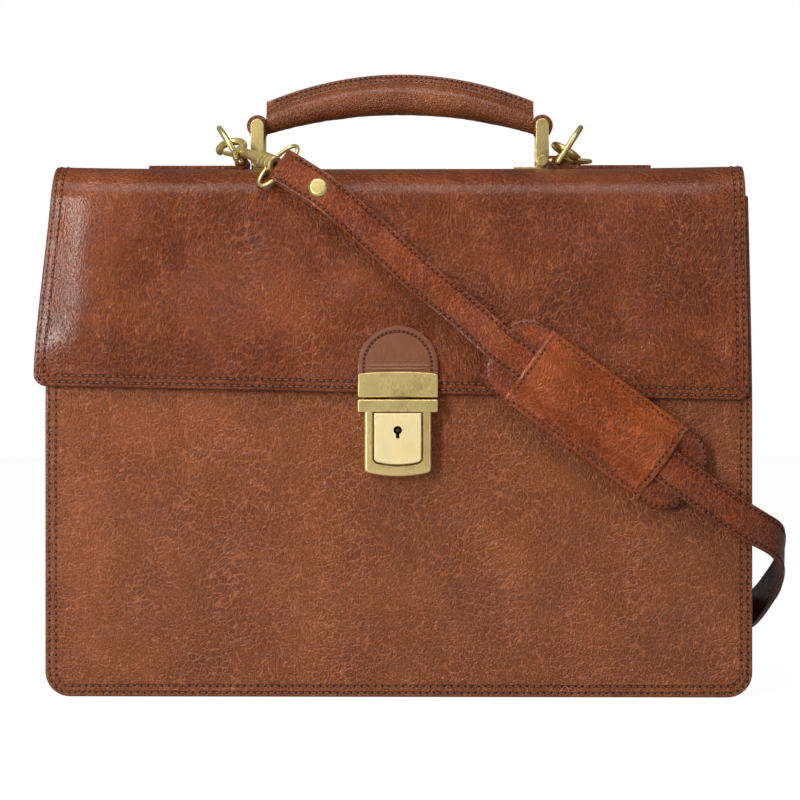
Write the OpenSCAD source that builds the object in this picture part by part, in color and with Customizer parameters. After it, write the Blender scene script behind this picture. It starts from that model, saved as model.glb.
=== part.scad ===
// Leather briefcase with a locking flap, a carrying handle and a shoulder strap.
// Millimetres. The origin is the middle of the base on the floor, +Z is up,
// the front faces -Y and +X is to the viewer's right.

/* [Body] */
// Width of the front and back panels
body_w = 400; // [340:5:480]
// Depth of the case at its base
body_d = 130; // [110:5:160]
// Thickness of the stiffened front and back panels
panel_t = 3.5; // [2.5:0.1:4]
// Radius of the lower corners of the panels
corner_r = 14; // [8:1:22]
// How far the top of the front panel leans in
front_lean = 21; // [14:1:24]
// Height at which the panels start to lean in
lean_start = 165; // [165:1:170]

/* [Gussets] */
// Thickness of the folded side leather
gusset_t = 2; // [1.2:0.1:3]
// Distance from a panel's edge to the seam that holds the gusset
seam_inset = 3; // [3:0.5:5]
// Depth of the inward side fold at the top
fold_depth = 16; // [8:1:24]
// Distance of the gussets' and divider's upper edges below the front panel's
gusset_drop = 17; // [15:1:55]
// Thickness of the divider between the two compartments
divider_t = 2.5; // [1.5:0.1:4]
// Thickness of the base leather under the gussets
base_t = 3; // [2:0.5:3]

/* [Flap] */
// Height of the top of the flap above the floor
top_h = 303; // [270:0.5:320]
// Distance of the front panel's upper edge below the top
front_drop = 18; // [15:1:30]
// Thickness of the lined flap leather
flap_t = 3.5; // [2.5:0.1:3.5]
// Height of the flap's lower edge in front
flap_low = 172; // [170:0.5:180]
// Outside radius of the rounded shoulder between top and front
shoulder_r = 25; // [18:1:30]
// Angle by which the front drop leans out towards its lower edge
flap_rake = 8; // [6:0.5:9]
// Gap between the flap's lower edge and the front panel
flap_gap = 0.8; // [0.6:0.1:1.5]
// Distance of the live hinge in front of the back of the case
hinge_in = 13; // [11:1:15]
// Radius of the flap's lower corners
flap_corner = 7; // [4:1:12]

/* [Lock] */
// Width of the lock's top bar and of the hasp plate
bar_w = 45; // [40:1:52]
// Width of the lock case below its top bar
case_w = 37.6; // [35:0.5:39]
// Depth of the lock case in front of the panel
case_d = 11; // [11:0.5:13]
// Height of the lock case with its top bar
case_h = 43.2; // [40:0.1:48]
// Width of the push button
button_w = 26.5; // [24:0.5:28]
// Travel of the push button
button_travel = 1.5; // [1.2:0.1:1.6]
// Thickness of the hasp plate
hasp_t = 1.8; // [1.2:0.1:2]
// Thickness of the leather tab under the hasp plate
tab_t = 1.8; // [1.2:0.1:2]
// Height of the leather tab
tab_h = 38; // [32:1:46]

/* [Handle] */
// Distance from the middle of the case to each handle link
link_x = 83.5; // [70:0.5:84]
// Height of a link's lower pivot above the top of the case
pivot_up = 5; // [4.6:0.1:7]
// Distance between a link's two pivots
link_len = 21; // [18:1:26]
// Width of a link's side bars
link_w = 7.6; // [6:0.1:8]
// Thickness of a link's side bars
link_t = 3; // [2:0.5:3]
// Clear distance between a link's side bars
link_gap = 18; // [16:1:20]
// Radius of the pins at the handle
pin_r = 2; // [1.5:0.1:2.5]
// Running clearance round each pin
pin_fit = 0.08; // [0.05:0.01:0.1]
// Rise of the middle of the grip above its ends
grip_rise = 14.5; // [8:0.5:20]
// Diameter of the grip in the middle
grip_mid_d = 19; // [16:0.5:22]
// Diameter of the grip at its ends
grip_end_d = 12.7; // [11:0.1:14]

/* [Rings and hooks] */
// Distance from the middle of the case to the bar of each D-ring
ring_x = 92.5; // [92:0.5:96]
// Wire diameter of the D-rings
ring_wire = 3.2; // [2.5:0.1:3.5]
// Distance between the legs of a D-ring, centre to centre
ring_w = 28; // [26:1:30]
// Length of a D-ring's straight legs
ring_leg = 11; // [10:0.5:13]
// Outward lean of the D-rings from upright
ring_lean = 33; // [28:1:38]
// Thickness of the leather ring tabs
ring_tab_t = 2; // [1.5:0.1:2.5]
// Diameter of a snap hook's grooved barrel
barrel_d = 10; // [9:0.1:10.5]
// Diameter of the claw's wire
claw_wire = 4.4; // [4:0.1:4.6]
// Inside radius of the claw
claw_in = 5; // [4.8:0.1:5.4]

/* [Strap] */
// Width of the shoulder strap
strap_w = 20; // [16:1:20]
// Thickness of the shoulder strap
strap_t = 3; // [2:0.1:3.2]
// Length of the shoulder pad
pad_len = 144; // [120:2:160]
// Width of the shoulder pad
pad_w = 54; // [44:1:60]
// Thickness of the shoulder pad's cushion in its middle
pad_t = 7; // [5:0.5:7]
// Length of the sleeve that the strap passes through
sleeve_len = 94.5; // [70:0.5:100]

/* [Hidden] */
$fn = 40;
leather = "saddlebrown";
dark_leather = "#4a2018";
brass = "#9a7a3c";
pale_gold = "#c8b070";
steel = "silver";

// Small distances shared by many pieces
soft_gap = 0.25;
over = 1;
steps = 12;

// Panels
half_d = body_d / 2;
half_w = body_w / 2;
front_h = top_h - front_drop;
gusset_h = front_h - gusset_drop;
hinge_y = half_d - hinge_in;
flap_pin_r = flap_t / 2;
hinge_z = top_h - flap_pin_r;
back_h = hinge_z - flap_pin_r - soft_gap - 0.05;
back_lean = half_d - hinge_y - flap_pin_r;

// How far a panel of height h has come in at height z, leaning in by a total of lean
function lean_in(z, h, lean) =
    z <= lean_start ? 0 : lean * pow((z - lean_start) / (h - lean_start), 1.3);
function front_y(z) = -half_d + lean_in(z, front_h, front_lean);
function back_y(z) = half_d - lean_in(z, back_h, back_lean);

// Vectors and curves
function unit(v) = v / norm(v);
function mix(a, b, t) = a + (b - a) * t;
function arc(c, r, from, to, n) =
    [for (i = [0:n]) c + r * [cos(mix(from, to, i / n)), sin(mix(from, to, i / n))]];
// A point on the smooth curve through a list of points, between points i and i + 1
function curve(p, i, t) =
    let (a = p[max(i - 1, 0)], b = p[i], c = p[i + 1], d = p[min(i + 2, len(p) - 1)])
    0.5 * (2 * b + (c - a) * t + (2 * a - 5 * b + 4 * c - d) * t * t
        + (3 * b - a - 3 * c + d) * t * t * t);
function smooth_route(p, per) =
    concat([for (i = [0:len(p) - 2], k = [0:per - 1]) curve(p, i, k / per)], [p[len(p) - 1]]);

// A closed solid through rings of points, each ring counter-clockwise about its way on
module loft(rings) {
    n = len(rings[0]);
    last = len(rings) - 1;
    sides = [for (i = [0:last - 1], j = [0:n - 1], k = [0:1])
        k == 0 ? [i * n + j, (i + 1) * n + j, (i + 1) * n + (j + 1) % n]
               : [i * n + j, (i + 1) * n + (j + 1) % n, i * n + (j + 1) % n]];
    ends = [[for (j = [0:n - 1]) j], [for (j = [n - 1:-1:0]) last * n + j]];
    polyhedron([for (r = rings) for (q = r) q], concat(ends, sides));
}

// One ring of a flat ribbon at point p, running along, with its face looking out
function ribbon_ring(p, along, out, w, t) =
    let (across = unit(cross(out, along)), up = cross(along, across))
    [p - across * w / 2 - up * t / 2, p + across * w / 2 - up * t / 2,
     p + across * w / 2 + up * t / 2, p - across * w / 2 + up * t / 2];
function way(p, i) = unit(p[min(i + 1, len(p) - 1)] - p[max(i - 1, 0)]);

// A plate with rounded corners in X and Z, from y to y + t
module rounded_xz(w, z0, z1, r, y, t) {
    translate([0, y + t, 0]) rotate([90, 0, 0]) linear_extrude(t) {
        translate([-w / 2 + r, z0]) square([w - 2 * r, z1 - z0]);
        translate([-w / 2, z0 + r]) square([w, z1 - z0 - r]);
        translate([-w / 2 + r, z0 + r]) circle(r);
        translate([w / 2 - r, z0 + r]) circle(r);
    }
}

// A cylinder along Y through x and z, from y0 to y1
module bar_y(x, z, r, y0, y1) {
    translate([x, y1, z]) rotate([90, 0, 0]) cylinder(h = y1 - y0, r = r);
}

// A profile drawn in Y and Z and carried along X by w, centred
module along_x(w) {
    translate([-w / 2, 0, 0]) rotate([90, 0, 90]) linear_extrude(w) children();
}

// A profile drawn in X and Z, from y0 to y1
module along_y(y0, y1) {
    translate([0, y1, 0]) rotate([90, 0, 0]) linear_extrude(y1 - y0) children();
}

// Body panels
module front_panel() {
    outer = [for (i = [0:steps]) let (z = mix(lean_start, front_h, i / steps)) [front_y(z), z]];
    inner = [for (i = [steps:-1:0]) [outer[i][0] + panel_t, outer[i][1]]];
    color(leather) difference() {
        intersection() {
            along_x(body_w) polygon(concat([[-half_d, 0]], outer, inner, [[panel_t - half_d, 0]]));
            rounded_xz(body_w, 0, front_h, corner_r, -half_d, body_d);
        }
        for (p = rivet_places) bar_y(p[0], p[1], rivet_r + pin_fit, -half_d - over, over - half_d + panel_t);
    }
}

module back_panel() {
    outer = [for (i = [0:steps]) let (z = mix(lean_start, back_h, i / steps)) [back_y(z), z]];
    inner = [for (i = [steps:-1:0]) [outer[i][0] - panel_t, outer[i][1]]];
    color(leather) intersection() {
        along_x(body_w) polygon(concat([[half_d, 0]], outer, inner, [[half_d - panel_t, 0]]));
        rounded_xz(body_w, 0, back_h, corner_r, -half_d, body_d);
    }
}

module base_panel() {
    d = body_d - 2 * panel_t;
    color(dark_leather)
        translate([corner_r - body_w / 2, -d / 2, 0]) cube([body_w - 2 * corner_r, d, base_t]);
}

// Each gusset is one strip that runs down one side, under the case and up the other side.
// Its stations are [place in x, place in z, way inward], and its side fold closes at the base.
g_half = half_w - seam_inset;
g_r = corner_r - seam_inset;
left_stations = concat(
    [for (i = [0:8]) let (z = mix(gusset_h + over, g_r + base_t, i / 8)) [[-g_half, z], [1, 0]]],
    [for (i = [1:5]) let (a = 180 + 90 * i / 5)
        [[g_r - g_half, g_r + base_t] + g_r * [cos(a), sin(a)], -[cos(a), sin(a)]]]);
right_stations = [for (i = [len(left_stations) - 1:-1:0]) let (s = left_stations[i])
    [[-s[0][0], s[0][1]], [-s[1][0], s[1][1]]]];
function fold_at(z) = fold_depth * pow(max(0, z - g_r - base_t) / (gusset_h - g_r - base_t), 0.7);
function gusset_ring(s, y0, y1) =
    let (p = s[0], n = s[1], f = fold_at(p[1]), m = (y0 + y1) / 2,
         cut = [[0, y0], [f, m], [0, y1], [gusset_t, y1], [f + gusset_t, m], [gusset_t, y0]])
    [for (c = cut) [p[0] + n[0] * c[0], c[1], p[1] + n[1] * c[0]]];

// The strip is made a little long and trimmed level at the top
module gusset(near, far) {
    color(dark_leather) difference() {
        loft([for (s = concat(left_stations, right_stations)) gusset_ring(s, near(s[0][1]), far(s[0][1]))]);
        translate([-half_w, -half_d, gusset_h]) cube([body_w, body_d, 2 * over]);
    }
}
module gusset_front() {
    gusset(function(z) front_y(z) + panel_t + soft_gap, function(z) -divider_t / 2);
}

module gusset_rear() {
    gusset(function(z) divider_t / 2, function(z) back_y(z) - panel_t - soft_gap);
}

module divider() {
    color(dark_leather)
        rounded_xz(2 * g_half, base_t, gusset_h, g_r, -divider_t / 2, divider_t);
}

// The flap's outline, from the live hinge over the shoulder to the lower edge
drop_in_low = front_y(flap_low) - flap_gap;
drop_out_low = drop_in_low - flap_t / cos(flap_rake);
function flap_y(z) = drop_out_low + (z - flap_low) * tan(flap_rake);
shoulder_z = top_h - shoulder_r;
shoulder_y = flap_y(shoulder_z) + shoulder_r / cos(flap_rake);
shoulder_c = [shoulder_y, shoulder_z];
module flap_profile() {
    outer = arc(shoulder_c, shoulder_r, 90, 180 - flap_rake, steps);
    inner = arc(shoulder_c, shoulder_r - flap_t, 180 - flap_rake, 90, steps);
    polygon(concat([[hinge_y, top_h]], outer, [[drop_out_low, flap_low], [drop_in_low, flap_low]],
        inner, [[hinge_y, top_h - flap_t]]));
    translate([hinge_y, hinge_z]) circle(flap_pin_r);
}

module flap() {
    color(leather) difference() {
        intersection() {
            along_x(body_w) flap_profile();
            rounded_xz(body_w, flap_low, top_h + over, flap_corner, drop_out_low - over, body_d * 2);
        }
        for (s = [-1, 1], k = [0, 1]) saddle_rivet_hole(s, k, top_h - flap_t - over);
        for (s = [-1, 1]) on_drop() {
            bar_y(s * hasp_rivet_x, hasp_mid, rivet_r + pin_fit, -over, flap_t + over);
            bar_y(s * hasp_rivet_x, hasp_mid, rivet_r * 2 + pin_fit, flap_t - rivet_sunk, flap_t + over);
        }
    }
}

// Puts something on the outer face of the flap's drop, with z measured up the slope
module on_drop() {
    translate([0, drop_out_low, flap_low]) rotate([-flap_rake, 0, 0]) children();
}

// Lock. The leather tab and the hasp plate lie on the flap; the tongue hangs into the case.
hasp_h = 14.3;
hasp_drop = 2.9;
hasp_mid = 5;
hasp_rivet_x = 16;
rivet_r = 1.5;
rivet_sunk = 0.8;
module lock_tab() {
    r = bar_w / 2;
    color(leather) on_drop() difference() {
        along_y(-tab_t, 0) {
            translate([-r, 0]) square([bar_w, tab_h - r]);
            intersection() {
                translate([0, tab_h - r]) circle(r);
                translate([-r, 0]) square([bar_w, tab_h]);
            }
        }
        for (s = [-1, 1])
            bar_y(s * hasp_rivet_x, hasp_mid, rivet_r + pin_fit, -tab_t - over, over);
    }
}

case_top = flap_low - 3.8;
case_low = case_top - case_h;
tongue_w = 10;
tongue_t = 1.5;
tongue_low = case_top - 3;
tongue_front = -half_d - 5.9;
window_low = case_top - 2.6;
window_high = window_low + 2.8;
module hasp_plate() {
    crown_r = bar_w;
    color(brass) {
        on_drop() along_y(-tab_t - hasp_t, -tab_t) intersection() {
            translate([-bar_w / 2, -hasp_drop]) square([bar_w, hasp_h]);
            translate([0, hasp_h - hasp_drop - crown_r]) circle(crown_r, $fn = 96);
        }
        difference() {
            along_x(tongue_w) polygon([
                [drop_out_low - tab_t - hasp_t * 0.6, flap_low - 1.9],
                [drop_out_low - tab_t - hasp_t * 0.6, flap_low - 0.6],
                [tongue_front + tongue_t, flap_low - 0.6],
                [tongue_front + tongue_t, tongue_low], [tongue_front, tongue_low],
                [tongue_front, flap_low - 1.9]]);
            along_x(tongue_w - 3)
                translate([tongue_front - over, window_low])
                    square([tongue_t + 2 * over, window_high - window_low]);
        }
    }
}

module hasp_rivets() {
    color(brass) on_drop() for (s = [-1, 1]) {
        bar_y(s * hasp_rivet_x, hasp_mid, rivet_r, -tab_t, flap_t);
        bar_y(s * hasp_rivet_x, hasp_mid, rivet_r * 2, flap_t - rivet_sunk, flap_t);
    }
}

// An upright shield with straight sides and a round bottom, drawn in by k all round.
// Its points run counter-clockwise, seen from the front.
function shield(w, low, top, k) =
    let (h = w / 2 - k, r = w * 0.75 - k, a = asin(h / r))
    concat(arc([0, low + w * 0.75], r, -90 - a, -90 + a, steps), [[h, top - k], [-h, top - k]]);
bar_h = 7;
case_wall = 1.5;
front = -half_d - case_d;
bar_low = case_top - bar_h;
button_low = case_low + 6.8;
button_high = bar_low - 0.4;
button_fit = 0.3;
cavity_w = case_w - 2 * case_wall - 2.6;
function case_ring(y, k) = [for (q = shield(case_w, case_low, bar_low + 0.5, k)) [q[0], y, q[1]]];
bevel_w = 1.2;
bevel_d = 2.4;
module lock_case() {
    color(brass) difference() {
        union() {
            along_y(front + bevel_d, -half_d) polygon(shield(case_w, case_low, bar_low + 0.5, 0));
            loft([case_ring(front + bevel_d + 1, 0.1), case_ring(front + bevel_d - 0.1, 0.1),
                case_ring(front, bevel_w)]);
            translate([-bar_w / 2, front - 0.2, bar_low]) cube([bar_w, case_d + 0.2, bar_h]);
        }
        along_y(front - over, -half_d - case_wall)
            polygon(shield(button_w + 2 * button_fit, button_low - button_fit, button_high + button_fit, 0));
        along_y(front + case_wall, -half_d - case_wall)
            polygon(shield(cavity_w, case_low + 2.5, bar_low - 0.1, 0));
        translate([-tongue_w / 2 - 1, front + 1, bar_low - 1])
            cube([tongue_w + 2, case_d - 1 - case_wall, bar_h + 1 + over]);
        for (p = rivet_places) bar_y(p[0], p[1], rivet_r + pin_fit, -half_d - 4, over - half_d);
        bar_y(0, key_z, post_r, -half_d - case_wall - over, over - half_d);
    }
}

key_z = case_low + 26;
post_r = 1;
keyhole_r = 2.4;
flange_t = 1;
button_front = front - 0.4;
flange_y = front + case_wall + 0.3;
rivet_places = [[-18, case_top - 6], [18, case_top - 6], [0, case_low + 2.6]];
module lock_button() {
    color(pale_gold) difference() {
        union() {
            along_y(button_front, flange_y + flange_t)
                polygon(shield(button_w, button_low, button_high, 0));
            along_y(flange_y, flange_y + flange_t)
                translate([-button_w / 2 - 1.4, button_low + 9]) square([button_w + 2.8, 14]);
        }
        bar_y(0, key_z, keyhole_r, button_front - over, flange_y + flange_t + over);
        along_y(button_front - over, flange_y + flange_t + over)
            translate([-1, key_z - 4.7]) square([2, 4.7]);
    }
}

// The catch is carried by the button and reaches behind the tongue into its window
module lock_latch() {
    y0 = flange_y + flange_t;
    nose_y = tongue_front + tongue_t + 1 - button_travel;
    back = tongue_front + tongue_t + 1.1;
    color(steel) along_x(tongue_w - 4) polygon([
        [y0, button_high - 3], [y0, button_high - 0.6], [back - 1, button_high - 0.6],
        [back - 1, window_high - 1.3], [nose_y, window_high - 1.3],
        [nose_y, window_high - 0.5], [back, window_high - 0.5], [back, button_high - 3]]);
}

module lock_tumbler() {
    y0 = -half_d - case_wall - 0.4 - 1.4;
    color(steel) difference() {
        union() {
            bar_y(0, key_z, 5, y0, y0 + 1.4);
            translate([-1.5, y0, key_z]) cube([3, 1.4, 6.6]);
        }
        bar_y(0, key_z, post_r + pin_fit, y0 - over, y0 + 1.4 + over);
    }
}

module key_post() {
    color(steel) bar_y(0, key_z, post_r, front + 0.6, -half_d);
}

spring_r = 2.2;
spring_wire = 0.7;
spring_x = 9;
spring_z = case_low + 12;
module lock_springs() {
    turns = 4;
    y0 = flange_y + flange_t + spring_wire / 2 + 0.1;
    y1 = -half_d - case_wall - spring_wire / 2 - 0.1;
    n = turns * 8;
    color(steel) for (s = [-1, 1]) loft([for (i = [0:n])
        let (a = 360 * i / 8, c = [cos(a), 0, sin(a)])
        [for (j = [0:5]) [s * spring_x, mix(y0, y1, i / n), spring_z]
            + c * (spring_r + spring_wire / 2 * cos(60 * j))
            + [0, spring_wire / 2 * sin(60 * j), 0]]]);
}

backplate_w = 44;
module lock_backplate() {
    color(steel) difference() {
        along_y(panel_t - half_d, panel_t - half_d + 1.2)
            translate([-backplate_w / 2, case_low - 1])
                square([backplate_w, rivet_places[0][1] + 3.6 - case_low]);
        for (p = rivet_places)
            bar_y(p[0], p[1], rivet_r + pin_fit, panel_t - half_d - over, panel_t - half_d + 3);
    }
}

module lock_rivets() {
    color(steel) for (p = rivet_places) {
        bar_y(p[0], p[1], rivet_r, -half_d - 3.9, panel_t - half_d + 1.2);
        bar_y(p[0], p[1], rivet_r * 1.9, panel_t - half_d + 1.2, panel_t - half_d + 2);
    }
}

// Handle
pivot_z = top_h + pivot_up;
pin_z = pivot_z + link_len;
plate_t = 1.5;
saddle_t = 1.5;
saddle_r = 1.6;
saddle_w = link_gap - 0.6;
saddle_rivets_in = [7, 12.5];
function rivet_x(s, k) = s * (link_x - saddle_rivets_in[k]);
module saddle_rivet_hole(s, k, z) {
    translate([rivet_x(s, k), 0, z]) cylinder(h = 4 * flap_t, r = saddle_r + pin_fit);
}

module handle_plate() {
    color(steel) difference() {
        translate([-link_x - 4, -saddle_w / 2, top_h - flap_t - plate_t])
            cube([2 * link_x + 8, saddle_w, plate_t]);
        for (s = [-1, 1], k = [0, 1]) saddle_rivet_hole(s, k, top_h - flap_t - plate_t - over);
    }
}

module handle_saddles() {
    eye_r = pin_r + 1.6;
    inward = saddle_rivets_in[1] + 4;
    color(brass) for (s = [-1, 1]) difference() {
        union() {
            translate([s > 0 ? link_x - inward : -link_x - eye_r, -saddle_w / 2, top_h])
                cube([inward + eye_r, saddle_w, saddle_t]);
            translate([s * link_x - eye_r, -saddle_w / 2, top_h]) cube([2 * eye_r, saddle_w, pivot_up]);
            bar_y(s * link_x, pivot_z, eye_r, -saddle_w / 2, saddle_w / 2);
        }
        bar_y(s * link_x, pivot_z, pin_r + pin_fit, -saddle_w, saddle_w);
        for (k = [0, 1]) saddle_rivet_hole(s, k, top_h - over);
    }
}

module saddle_rivets() {
    low = top_h - flap_t - plate_t;
    color(brass) for (s = [-1, 1], k = [0, 1]) translate([rivet_x(s, k), 0, 0]) {
        translate([0, 0, low]) cylinder(h = plate_t + flap_t + saddle_t, r = saddle_r);
        translate([0, 0, top_h + saddle_t]) cylinder(h = 0.8, r1 = saddle_r * 1.6, r2 = saddle_r);
        translate([0, 0, low - 0.8]) cylinder(h = 0.8, r = saddle_r * 1.6);
    }
}

// Two side bars with round ends and a fixed top pin that the grip hangs on
module link(x) {
    r = link_w / 2;
    color(brass) difference() {
        union() {
            for (s = [-1, 1]) {
                y0 = s > 0 ? link_gap / 2 : -link_gap / 2 - link_t;
                bar_y(x, pivot_z, r, y0, y0 + link_t);
                bar_y(x, pin_z, r, y0, y0 + link_t);
                translate([x - r, y0, pivot_z]) cube([link_w, link_t, link_len]);
            }
            bar_y(x, pin_z, pin_r, -link_gap / 2 - link_t, link_gap / 2 + link_t);
        }
        bar_y(x, pivot_z, pin_r + pin_fit, -link_gap, link_gap);
    }
}
module link_left() { link(-link_x); }
module link_right() { link(link_x); }

// A pin with a domed head in front and a round nut behind
module link_screw(x) {
    out = link_gap / 2 + link_t;
    color(brass) {
        bar_y(x, pivot_z, pin_r, -out, out);
        bar_y(x, pivot_z, pin_r * 1.6, -out - 1.2, -out);
        bar_y(x, pivot_z, pin_r * 1.4, out, out + 1.2);
    }
}
module link_screws_left() { link_screw(-link_x); }
module link_screws_right() { link_screw(link_x); }

// The grip is a padded roll that thickens to the middle, with a sewn ridge along its top
loop_r = grip_end_d / 2;
grip_end = link_x - loop_r + 1.5;
function grip_z(x) = pin_z + 2 + grip_rise * (1 - pow(x / grip_end, 2));
function grip_r(x) = mix(grip_end_d, grip_mid_d, 1 - pow(abs(x) / grip_end, 2)) / 2;
module handle_grip() {
    xs = [for (i = [-10:10]) grip_end * sin(9 * i)];
    color(dark_leather) {
        loft([for (x = xs) [for (j = [0:15]) let (a = 22.5 * j)
            [x, grip_r(x) * cos(a) * 0.92, grip_z(x) + grip_r(x) * sin(a)]]]);
        loft([for (x = xs) let (z = grip_z(x) + grip_r(x) - 1)
            [[x, -1.7, z], [x, 1.7, z], [x, 1.4, z + 6], [x, -1.4, z + 6]]]);
    }
}

module grip_loops() {
    w = link_gap - 1;
    color(dark_leather) for (s = [-1, 1]) difference() {
        bar_y(s * link_x, pin_z, loop_r, -w / 2, w / 2);
        bar_y(s * link_x, pin_z, pin_r + pin_fit, -w, w);
        translate([s > 0 ? 0 : -grip_end - soft_gap, -w, pin_z - 2 * loop_r])
            cube([grip_end + soft_gap, 2 * w, 4 * loop_r]);
    }
}

// D-rings and their leather tabs
ring_z = top_h + ring_tab_t + ring_wire / 2 + 0.3;
ring_behind = 23.67;
ring_before = 57;
// The left ring keeps its distance to the shoulder and the right ring to the hinge, both in
// whole hundredths so that the tab's flat and its fold end in the same planes
function hundredths(v) = round(100 * v) / 100;
function ring_y(s) = hundredths(s < 0 ? shoulder_y + ring_behind : hinge_y - ring_before);
tab_bore = ring_wire / 2 + 0.3;
tab_len = 54;
tab_w = ring_w - ring_wire - 2;
module ring_tab(s) {
    r = tab_bore + ring_tab_t;
    color(leather) difference() {
        union() {
            translate([min(s * ring_x, s * (ring_x + tab_len)), ring_y(s) - tab_w / 2, top_h])
                cube([tab_len, tab_w, ring_tab_t]);
            bar_y(s * ring_x, ring_z, r, ring_y(s) - tab_w / 2, ring_y(s) + tab_w / 2);
        }
        bar_y(s * ring_x, ring_z, tab_bore, ring_y(s) - tab_w, ring_y(s) + tab_w);
    }
}
module ring_tab_left() { ring_tab(-1); }
module ring_tab_right() { ring_tab(1); }

module d_ring(s) {
    r = ring_wire / 2;
    color(brass) translate([s * ring_x, ring_y(s), ring_z]) rotate([0, s * ring_lean, 0]) {
        bar_y(0, 0, r, -ring_w / 2, ring_w / 2);
        for (d = [-1, 1]) translate([0, d * ring_w / 2, 0]) {
            sphere(r);
            cylinder(h = ring_leg, r = r);
        }
        translate([0, 0, ring_leg]) rotate([90, 0, 90])
            rotate_extrude(angle = 180) translate([ring_w / 2, 0]) circle(r, $fn = 24);
    }
}
module d_ring_left() { d_ring(-1); }
module d_ring_right() { d_ring(1); }

// Snap hooks. Each claw holds one leg of its D-ring; the hook points from the leg to the
// strap's end. A hook is drawn along its own X, from the back of its barrel to its claw.
grab = ring_leg - 1;
hook_len = 42;
eye_back = 8;
function leg_point(s) = [s * (ring_x + grab * sin(ring_lean)), ring_y(s) + s * ring_w / 2,
    ring_z + grab * cos(ring_lean)];
claw_left = leg_point(-1);
claw_right = leg_point(1);
eye_left = claw_left + (hook_len + eye_back) * unit([33.4, -35, -15.3]);
eye_right = claw_right + (hook_len + eye_back) * unit([1.5, 50, -2.3]);
hook_roll = 60;
module at_hook(claw, eye, roll) {
    u = unit(claw - eye);
    translate(eye) rotate([roll, -asin(u[2]), atan2(u[1], u[0])]) translate([eye_back, 0, 0])
        children();
}
module along_own_x() { rotate([0, 90, 0]) children(); }

post_neck = 1.9;
post_head = 3;
claw_mean = claw_in + claw_wire / 2;
barrel_len = 14;
gate_x = hook_len - claw_mean - 2.6;
gate_z = -4.8;
module hook() {
    r = barrel_d / 2;
    groove = 0.6;
    color(brass) difference() {
        union() {
            along_own_x() rotate_extrude() polygon(concat(
                [[0, 0], [r - 0.8, 0], [r, 0.8]],
                [for (k = [0:2]) each [[r, 3 + 3.4 * k], [r - groove, 3.4 + 3.4 * k],
                    [r - groove, 4.2 + 3.4 * k], [r, 4.6 + 3.4 * k]]],
                [[r, barrel_len - 0.8], [r - 0.8, barrel_len], [0, barrel_len]]));
            translate([barrel_len - 1, 0, 0]) along_own_x()
                cylinder(h = hook_len - claw_mean - barrel_len + 1.6, r1 = 3.4, r2 = claw_wire / 2 + 0.2);
            translate([hook_len, 0, 0]) rotate([90, 0, 0]) rotate([0, 0, -75])
                rotate_extrude(angle = 262) translate([claw_mean, 0]) circle(claw_wire / 2, $fn = 28);
            for (s = [-1, 1]) {
                y0 = s > 0 ? 1.4 : -2.8;
                bar_y(gate_x, gate_z, 2, y0, y0 + 1.4);
                translate([gate_x - 2, y0, gate_z]) cube([4, 1.4, -gate_z - 1]);
            }
        }
        translate([-over, 0, 0]) along_own_x() cylinder(h = 4, r = post_neck + pin_fit);
        translate([3, 0, 0]) along_own_x() cylinder(h = 5, r = post_head + 0.2);
        bar_y(gate_x, gate_z, 0.8, -4, 4);
    }
}
module hook_left() { at_hook(claw_left, eye_left, hook_roll) hook(); }
module hook_right() { at_hook(claw_right, eye_right, hook_roll) hook(); }

// The sprung gate closes the claw from inside and has a thumb lever below the shank
gate_tip = [hook_len + claw_mean * cos(75) - 3.1, -claw_mean * sin(75) + 0.3];
module gate() {
    dir = unit(gate_tip - [gate_x, gate_z]);
    side = [-dir[1], dir[0]];
    root = [gate_x, gate_z];
    color(brass) difference() {
        along_y(-1.2, 1.2) {
            translate(root) circle(1.8);
            polygon([root + 1.1 * side, root - 1.1 * side, gate_tip - 0.9 * side, gate_tip + 0.9 * side]);
            polygon([root + [-1.2, 0.6], root + [-6.2, -3], root + [-5.2, -4.4], root + [0.8, -1.4]]);
        }
        bar_y(gate_x, gate_z, 0.8 + pin_fit, -4, 4);
    }
}
module gate_left() { at_hook(claw_left, eye_left, hook_roll) gate(); }
module gate_right() { at_hook(claw_right, eye_right, hook_roll) gate(); }
module gate_pin() { color(steel) bar_y(gate_x, gate_z, 0.8, -2.9, 2.9); }
module gate_pin_left() { at_hook(claw_left, eye_left, hook_roll) gate_pin(); }
module gate_pin_right() { at_hook(claw_right, eye_right, hook_roll) gate_pin(); }

// The swivel eye: a headed post in the barrel and a loop that holds the strap's end
eye_wire = 2.4;
eye_w = strap_w + 3.4;
eye_reach = 6.2;
eye_roll_left = -58;
eye_roll_right = 0;
module swivel_eye() {
    r = eye_wire / 2;
    color(brass) {
        translate([eye_reach - eye_back, 0, 0]) along_own_x() cylinder(h = 5.6, r = post_neck);
        translate([3.3, 0, 0]) along_own_x() cylinder(h = 3, r = post_head);
        translate([-eye_back, 0, 0]) {
            for (x = [0, eye_reach]) bar_y(x, 0, r, -eye_w / 2 - r, eye_w / 2 + r);
            for (s = [-1, 1]) translate([0, s * eye_w / 2, 0]) along_own_x()
                cylinder(h = eye_reach, r = r * 0.9);
        }
    }
}
module swivel_eye_left() { at_hook(claw_left, eye_left, eye_roll_left) swivel_eye(); }
module swivel_eye_right() { at_hook(claw_right, eye_right, eye_roll_right) swivel_eye(); }

// The strap is one length of flat leather. A route point is [place, way its face looks].
strap_lay = 0.4;
fold_r = eye_wire / 2 + 0.3 + strap_t / 2;
function skin_y(z) = z <= shoulder_z + shoulder_r * sin(flap_rake) ? flap_y(z)
    : shoulder_y - sqrt(pow(shoulder_r, 2) - pow(z - shoulder_z, 2));
function on_skin(x, z, up) = [[x, skin_y(z) - strap_lay - strap_t / 2 - up, z],
    [0, -cos(flap_rake), sin(flap_rake)]];

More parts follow.
